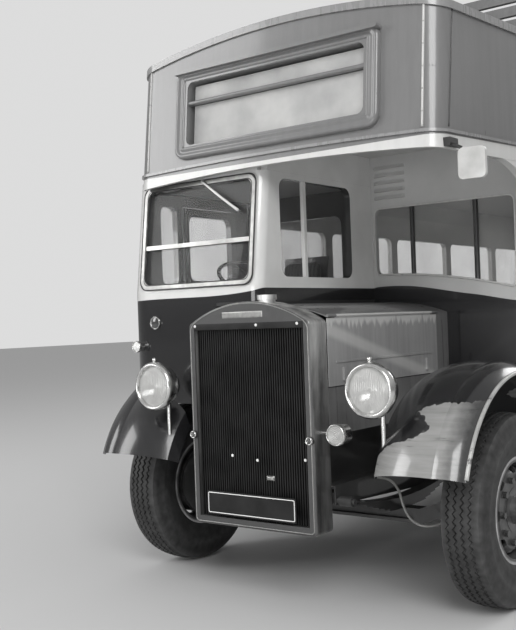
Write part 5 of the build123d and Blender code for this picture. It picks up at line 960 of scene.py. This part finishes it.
def rounded_loop(half_wide, half_tall, radius, step=0.02):
    """Points round a rectangle with round corners, with the direction that faces outwards at each."""
    corner = np.linspace(0, pi / 2, 12)
    places, ways = [], []
    for quarter, (sx, sz) in enumerate(((1, 1), (-1, 1), (-1, -1), (1, -1))):
        turn = corner + quarter * pi / 2
        way = np.stack([np.cos(turn), np.sin(turn)], axis=1)
        middle = np.array((sx * (half_wide - radius), sz * (half_tall - radius)))
        places.append(middle + radius * way)
        ways.append(way)
    places, ways = np.concatenate(places), np.concatenate(ways)
    gap = np.linalg.norm(np.roll(places, -1, axis=0) - places, axis=1)
    parts = np.maximum((gap / step).astype(int), 1)
    source = np.repeat(np.arange(len(places)), parts)
    share = (np.arange(len(source)) - np.repeat(np.cumsum(parts) - parts, parts)) / np.repeat(parts, parts)
    after = (source + 1) % len(places)
    place = places[source] * (1 - share[:, None]) + places[after] * share[:, None]
    way = ways[source] * (1 - share[:, None]) + ways[after] * share[:, None]
    return place, way / np.linalg.norm(way, axis=1, keepdims=True)


lean_all = sqrt(front_lean**2 + deck_rise**2)
face_up = np.array((0, front_lean, deck_rise)) / lean_all
face_out = np.array((0, -deck_rise, front_lean)) / lean_all
face_foot = np.array((0, deck_front, deck_foot))


def face_place(x, up, out):
    """Point on the leaning front from its distance across, up the face and out of it."""
    x, up, out = np.broadcast_arrays(np.asarray(x, dtype=float), up, out)
    return face_foot + x[..., None] * np.array(across_bus) + up[..., None] * face_up + out[..., None] * face_out


# Columns: distance in from the outer edge, height off the panel
ridge_profile = np.array([
    (-0.002, 0.001), (-0.003, 0.016), (0.001, 0.026), (0.008, 0.032), (0.016, 0.034), (0.024, 0.032),
    (0.030, 0.0285), (0.038, 0.0270), (0.044, 0.0280), (0.050, 0.0320), (0.057, 0.0350), (0.064, 0.0345),
    (0.070, 0.0300), (0.074, 0.0220), (0.076, 0.0100), (0.0765, -0.020),
])
box_height, box_bar_height = 2.790, 2.857
squeeze = 0.93
loop_place, loop_way = rounded_loop(0.702, 0.269, 0.066)
ridge_in, ridge_out = ridge_profile.T
ridge_x = loop_place[:, None, 0] - loop_way[:, None, 0] * ridge_in[None, :]
ridge_up = box_height - deck_foot + (loop_place[:, None, 1] - loop_way[:, None, 1] * ridge_in[None, :] * squeeze)
ridge = surface("box_moulding", face_place(ridge_x, ridge_up, ridge_out[None, :])[:, ::-1], closed_u=True)
fit(ridge, panel_paint, "bus")
bar_x = np.linspace(-0.622, 0.622, 30)[:, None]
bar_turn = np.linspace(0, pi, 9)[None, :]
bar_up, bar_out = box_bar_height - deck_foot + 0.011 * np.cos(bar_turn), 0.010 + 0.008 * np.sin(bar_turn)
fit(surface("box_bar", face_place(bar_x, bar_up, bar_out)), panel_paint, "bus")

blind_cloth, shader = new_material("blind_cloth")
blind_tone = shades(blind_cloth, cloud(blind_cloth, 3.5, 8.0), (0.3, 0.30), (0.7, (0.50, 0.50, 0.49)))
wire(shader, {"Base Color": blind_tone, "Roughness": 0.7})
dress(blind_cloth, "blinds")

# Mirrors: small pressed steel plates in worn pale paint, each on a thin dark
# arm that is bolted to the front of the canopy.
mirror_metal, shader = new_material("mirror_metal")
mirror_x = along(mirror_metal, "X")
plates = reckoned(mirror_metal, "MAXIMUM", reckoned(mirror_metal, "GREATER_THAN", mirror_x, 1.166),
                  reckoned(mirror_metal, "LESS_THAN", mirror_x, -1.240))
smears = cloud(mirror_metal, 7.0, 8.0)
worn_pale = shades(mirror_metal, smears, (0.3, (0.40, 0.40, 0.39)), (0.7, (0.62, 0.62, 0.61)))
wire(shader, {"Base Color": blended(mirror_metal, plates, 0.030, worn_pale), "Roughness": 0.38})
dress(mirror_metal, "mirrors")

# Inside: ribbed boards under foot, slatted seats on the open deck, a pale
# ceiling over the saloon, painted stairs, and a black moulded steering wheel.
boards = coach_paint("boards", 0.16, rough=0.6, streak=0.3, dust=0.2)
dress(boards, "lower_floor", "rear_platform", "upper_seats")
far_below = (0, 0, -60)
ceiling_paint = coach_paint("ceiling_paint", 0.16, rough=0.5, streak=0.2, lining=(0.56, 0.56, 0.55), middle=far_below)
dress(ceiling_paint, "upper_floor")
inner_paint = coach_paint("inner_paint", (0.40, 0.40, 0.39), rough=0.35, streak=0.1, dust=0.1)
dress(inner_paint, "rear_bulkhead", "staircase")
wheel_resin = coach_paint("wheel_resin", 0.012, rough=0.12, streak=0.05, dust=0.0)
dress(wheel_resin, "steering_wheel")

# Cushions: sprung squabs and backs in dark moquette, sewn tight over tubular
# frames, so that each crowns in the middle and draws in between its corners.
seat_enamel = coach_paint("seat_enamel", 0.05, rough=0.35, streak=0.1, dust=0.1, wear=0.2, under=0.3)
dress(seat_enamel, "seat_frames")
moquette, shader = new_material("moquette")
wave = {"Vector": object_place(moquette), "Scale": 12.0, "Distortion": 0.6, "Detail": 2.0}
rows = add_node(moquette, "TexWave", wave, wave_type="BANDS", bands_direction="X").outputs["Fac"]
weft = reckoned(moquette, "MULTIPLY_ADD", rows, 0.35, cloud(moquette, 420.0, 3.0))
dye = shades(moquette, weft, (0.35, (0.030, 0.030, 0.031)), (0.95, (0.115, 0.115, 0.113)))
wire(shader, {"Base Color": dye, "Roughness": 0.9, "Sheen Weight": 0.4, "Sheen Roughness": 0.4})
relief(moquette, shader, weft, 0.4, 0.002)
round_off, voxel = 0.30, 0.009
cloth_pressure, cloth_frames = 4.0, 20


def squared(wave):
    """Sine or cosine brought to a small power with its sign kept, which fills out a circle to a rounded square."""
    return np.sign(wave) * np.abs(wave) ** round_off


def cushion_block(half_wide, side_view, swell):
    """Rounded block: sines and cosines to a small power fill the unit cube, and the side view's corners place it."""
    turn = np.linspace(0, 2 * pi, 72, endpoint=False)[:, None]
    rise = np.linspace(-pi / 2, pi / 2, 60)[None, :]
    low_front, low_rear, high_rear, high_front = (np.array(corner) for corner in side_view)
    long_half = np.linalg.norm(low_rear - low_front) / 2
    thick_half = np.linalg.norm(high_front - low_front) / 2
    ring = np.maximum(np.cos(rise), 0) ** round_off
    across = squared(np.sin(rise)) * (half_wide - swell) + 0 * turn
    fore = ring * squared(np.cos(turn)) * (1 - swell / long_half)
    up = ring * squared(np.sin(turn)) * (1 - swell / thick_half)
    side = ((1 - fore) * (1 - up))[..., None] * low_front + ((1 + fore) * (1 - up))[..., None] * low_rear
    side = side + ((1 + fore) * (1 + up))[..., None] * high_rear + ((1 - fore) * (1 + up))[..., None] * high_front
    return np.concatenate([across[..., None], side / 4], axis=-1)


def mesh_points(mesh):
    """The mesh's points as an array."""
    points = np.empty(3 * len(mesh.vertices))
    mesh.vertices.foreach_get("co", points)
    return points.reshape(-1, 3)


def as_it_stands(piece):
    """Mesh of a piece with its modifiers applied."""
    return bpy.data.meshes.new_from_object(piece.evaluated_get(bpy.context.evaluated_depsgraph_get()))


def plumped(name, half_wide, side_view, swell, base):
    """Block remeshed evenly, blown up as cloth; each point's move is cut at the swell, and none passes the base."""
    piece = surface(name, cushion_block(half_wide, side_view, swell)[::-1], closed_u=True)
    even = piece.modifiers.new("even", "REMESH")
    even.mode = "VOXEL"
    even.voxel_size = voxel
    even.use_smooth_shade = True
    mesh = as_it_stands(piece)
    piece.modifiers.remove(even)
    piece.data = mesh
    start = mesh_points(mesh)
    ended = start.copy()
    cover = piece.modifiers.new("cover", "CLOTH")
    cover.settings.use_pressure = True
    cover.settings.uniform_pressure_force = cloth_pressure
    cover.settings.effector_weights.gravity = 0.0
    for step in range(1, cloth_frames + 1):
        bpy.context.scene.frame_set(step)
    blown = as_it_stands(piece)
    ended = mesh_points(blown)
    piece.modifiers.remove(cover)
    bpy.data.meshes.remove(blown)
    bpy.context.scene.frame_set(1)
    move = ended - start
    size = np.linalg.norm(move, axis=1, keepdims=True)
    ended = start + move * np.minimum(1, swell / np.maximum(size, 1e-9))
    base_point, base_way = (np.array(part, dtype=float) for part in base)
    base_way /= np.linalg.norm(base_way)
    past = np.maximum((base_point - ended[:, 1:]) @ base_way, 0)
    ended[:, 1:] += past[:, None] * base_way
    bpy.data.objects.remove(piece)
    faces = np.empty(len(mesh.loops), dtype=int)
    mesh.loops.foreach_get("vertex_index", faces)
    bpy.data.meshes.remove(mesh)
    return ended, faces.reshape(-1, 4)


def seat_part(name, form, place):
    """The plumped form, moved to its place on its seat."""
    points, faces = form
    piece = fit(meshed(name, points + np.array(place), faces), moquette, "bus")
    return piece


# Side views, from the seat's front lower corner: low front, low rear, high rear, high front
squab_view = ((0.004, 0.001), (0.350, -0.024), (0.362, 0.068), (0.004, 0.090))
back_view = ((0.372, 0.078), (0.435, 0.074), (0.495, 0.456), (0.430, 0.460))
bench_view = ((-0.590, 0.0), (0.590, 0.0), (0.590, 0.109), (-0.590, 0.109))
bench_back_view = ((-0.590, 0.0), (0.590, 0.0), (0.590, 0.348), (-0.590, 0.348))
# Bases, in the side view: a point on the plane that the cushion rests on, and the way it faces
squab_base = ((0.004, 0.0025), (0.0715, 1.0))
back_base = ((0.4345, 0.074), (-1.0, 0.157))
bench_base = ((0, 0.001), (0, 1))
row_half, driver_half, bench_half, bench_back_half = 0.412, 0.169, 0.251, 0.034
row_squab = plumped("row_squab", row_half, squab_view, 0.012, squab_base)
row_back = plumped("row_back", row_half, back_view, 0.010, back_base)
driver_squab = plumped("driver_squab", driver_half, squab_view, 0.012, squab_base)
driver_back = plumped("driver_back", driver_half, back_view, 0.010, back_base)
bench_squab = plumped("bench_squab", bench_half, bench_view, 0.014, bench_base)
bench_back = plumped("bench_back", bench_back_half, bench_back_view, 0.008, bench_base)
row_x, first_row_y, row_pitch, row_z = 0.723, -2.135, 0.660, 1.190
bench_x, bench_back_x = 0.882, 1.109
for side_name, side in both_sides:
    for row in range(5):
        row_place = (side * row_x, first_row_y + row_pitch * row, row_z)
        squab = seat_part(f"squab_{side_name}_{row + 1}", row_squab, row_place)
        if (side_name, row) == ("nearside", 0):
            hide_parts("seat_cushions")
        seat_part(f"seat_back_{side_name}_{row + 1}", row_back, row_place)
    seat_part(f"bench_squab_{side_name}", bench_squab, (side * bench_x, rear_axle_y, 1.0965))
    seat_part(f"bench_back_{side_name}", bench_back, (side * bench_back_x, rear_axle_y, 1.209))
driver_place = (-0.640, -3.085, 1.490)
seat_part("driver_squab", driver_squab, driver_place)
seat_part("driver_back", driver_back, driver_place)
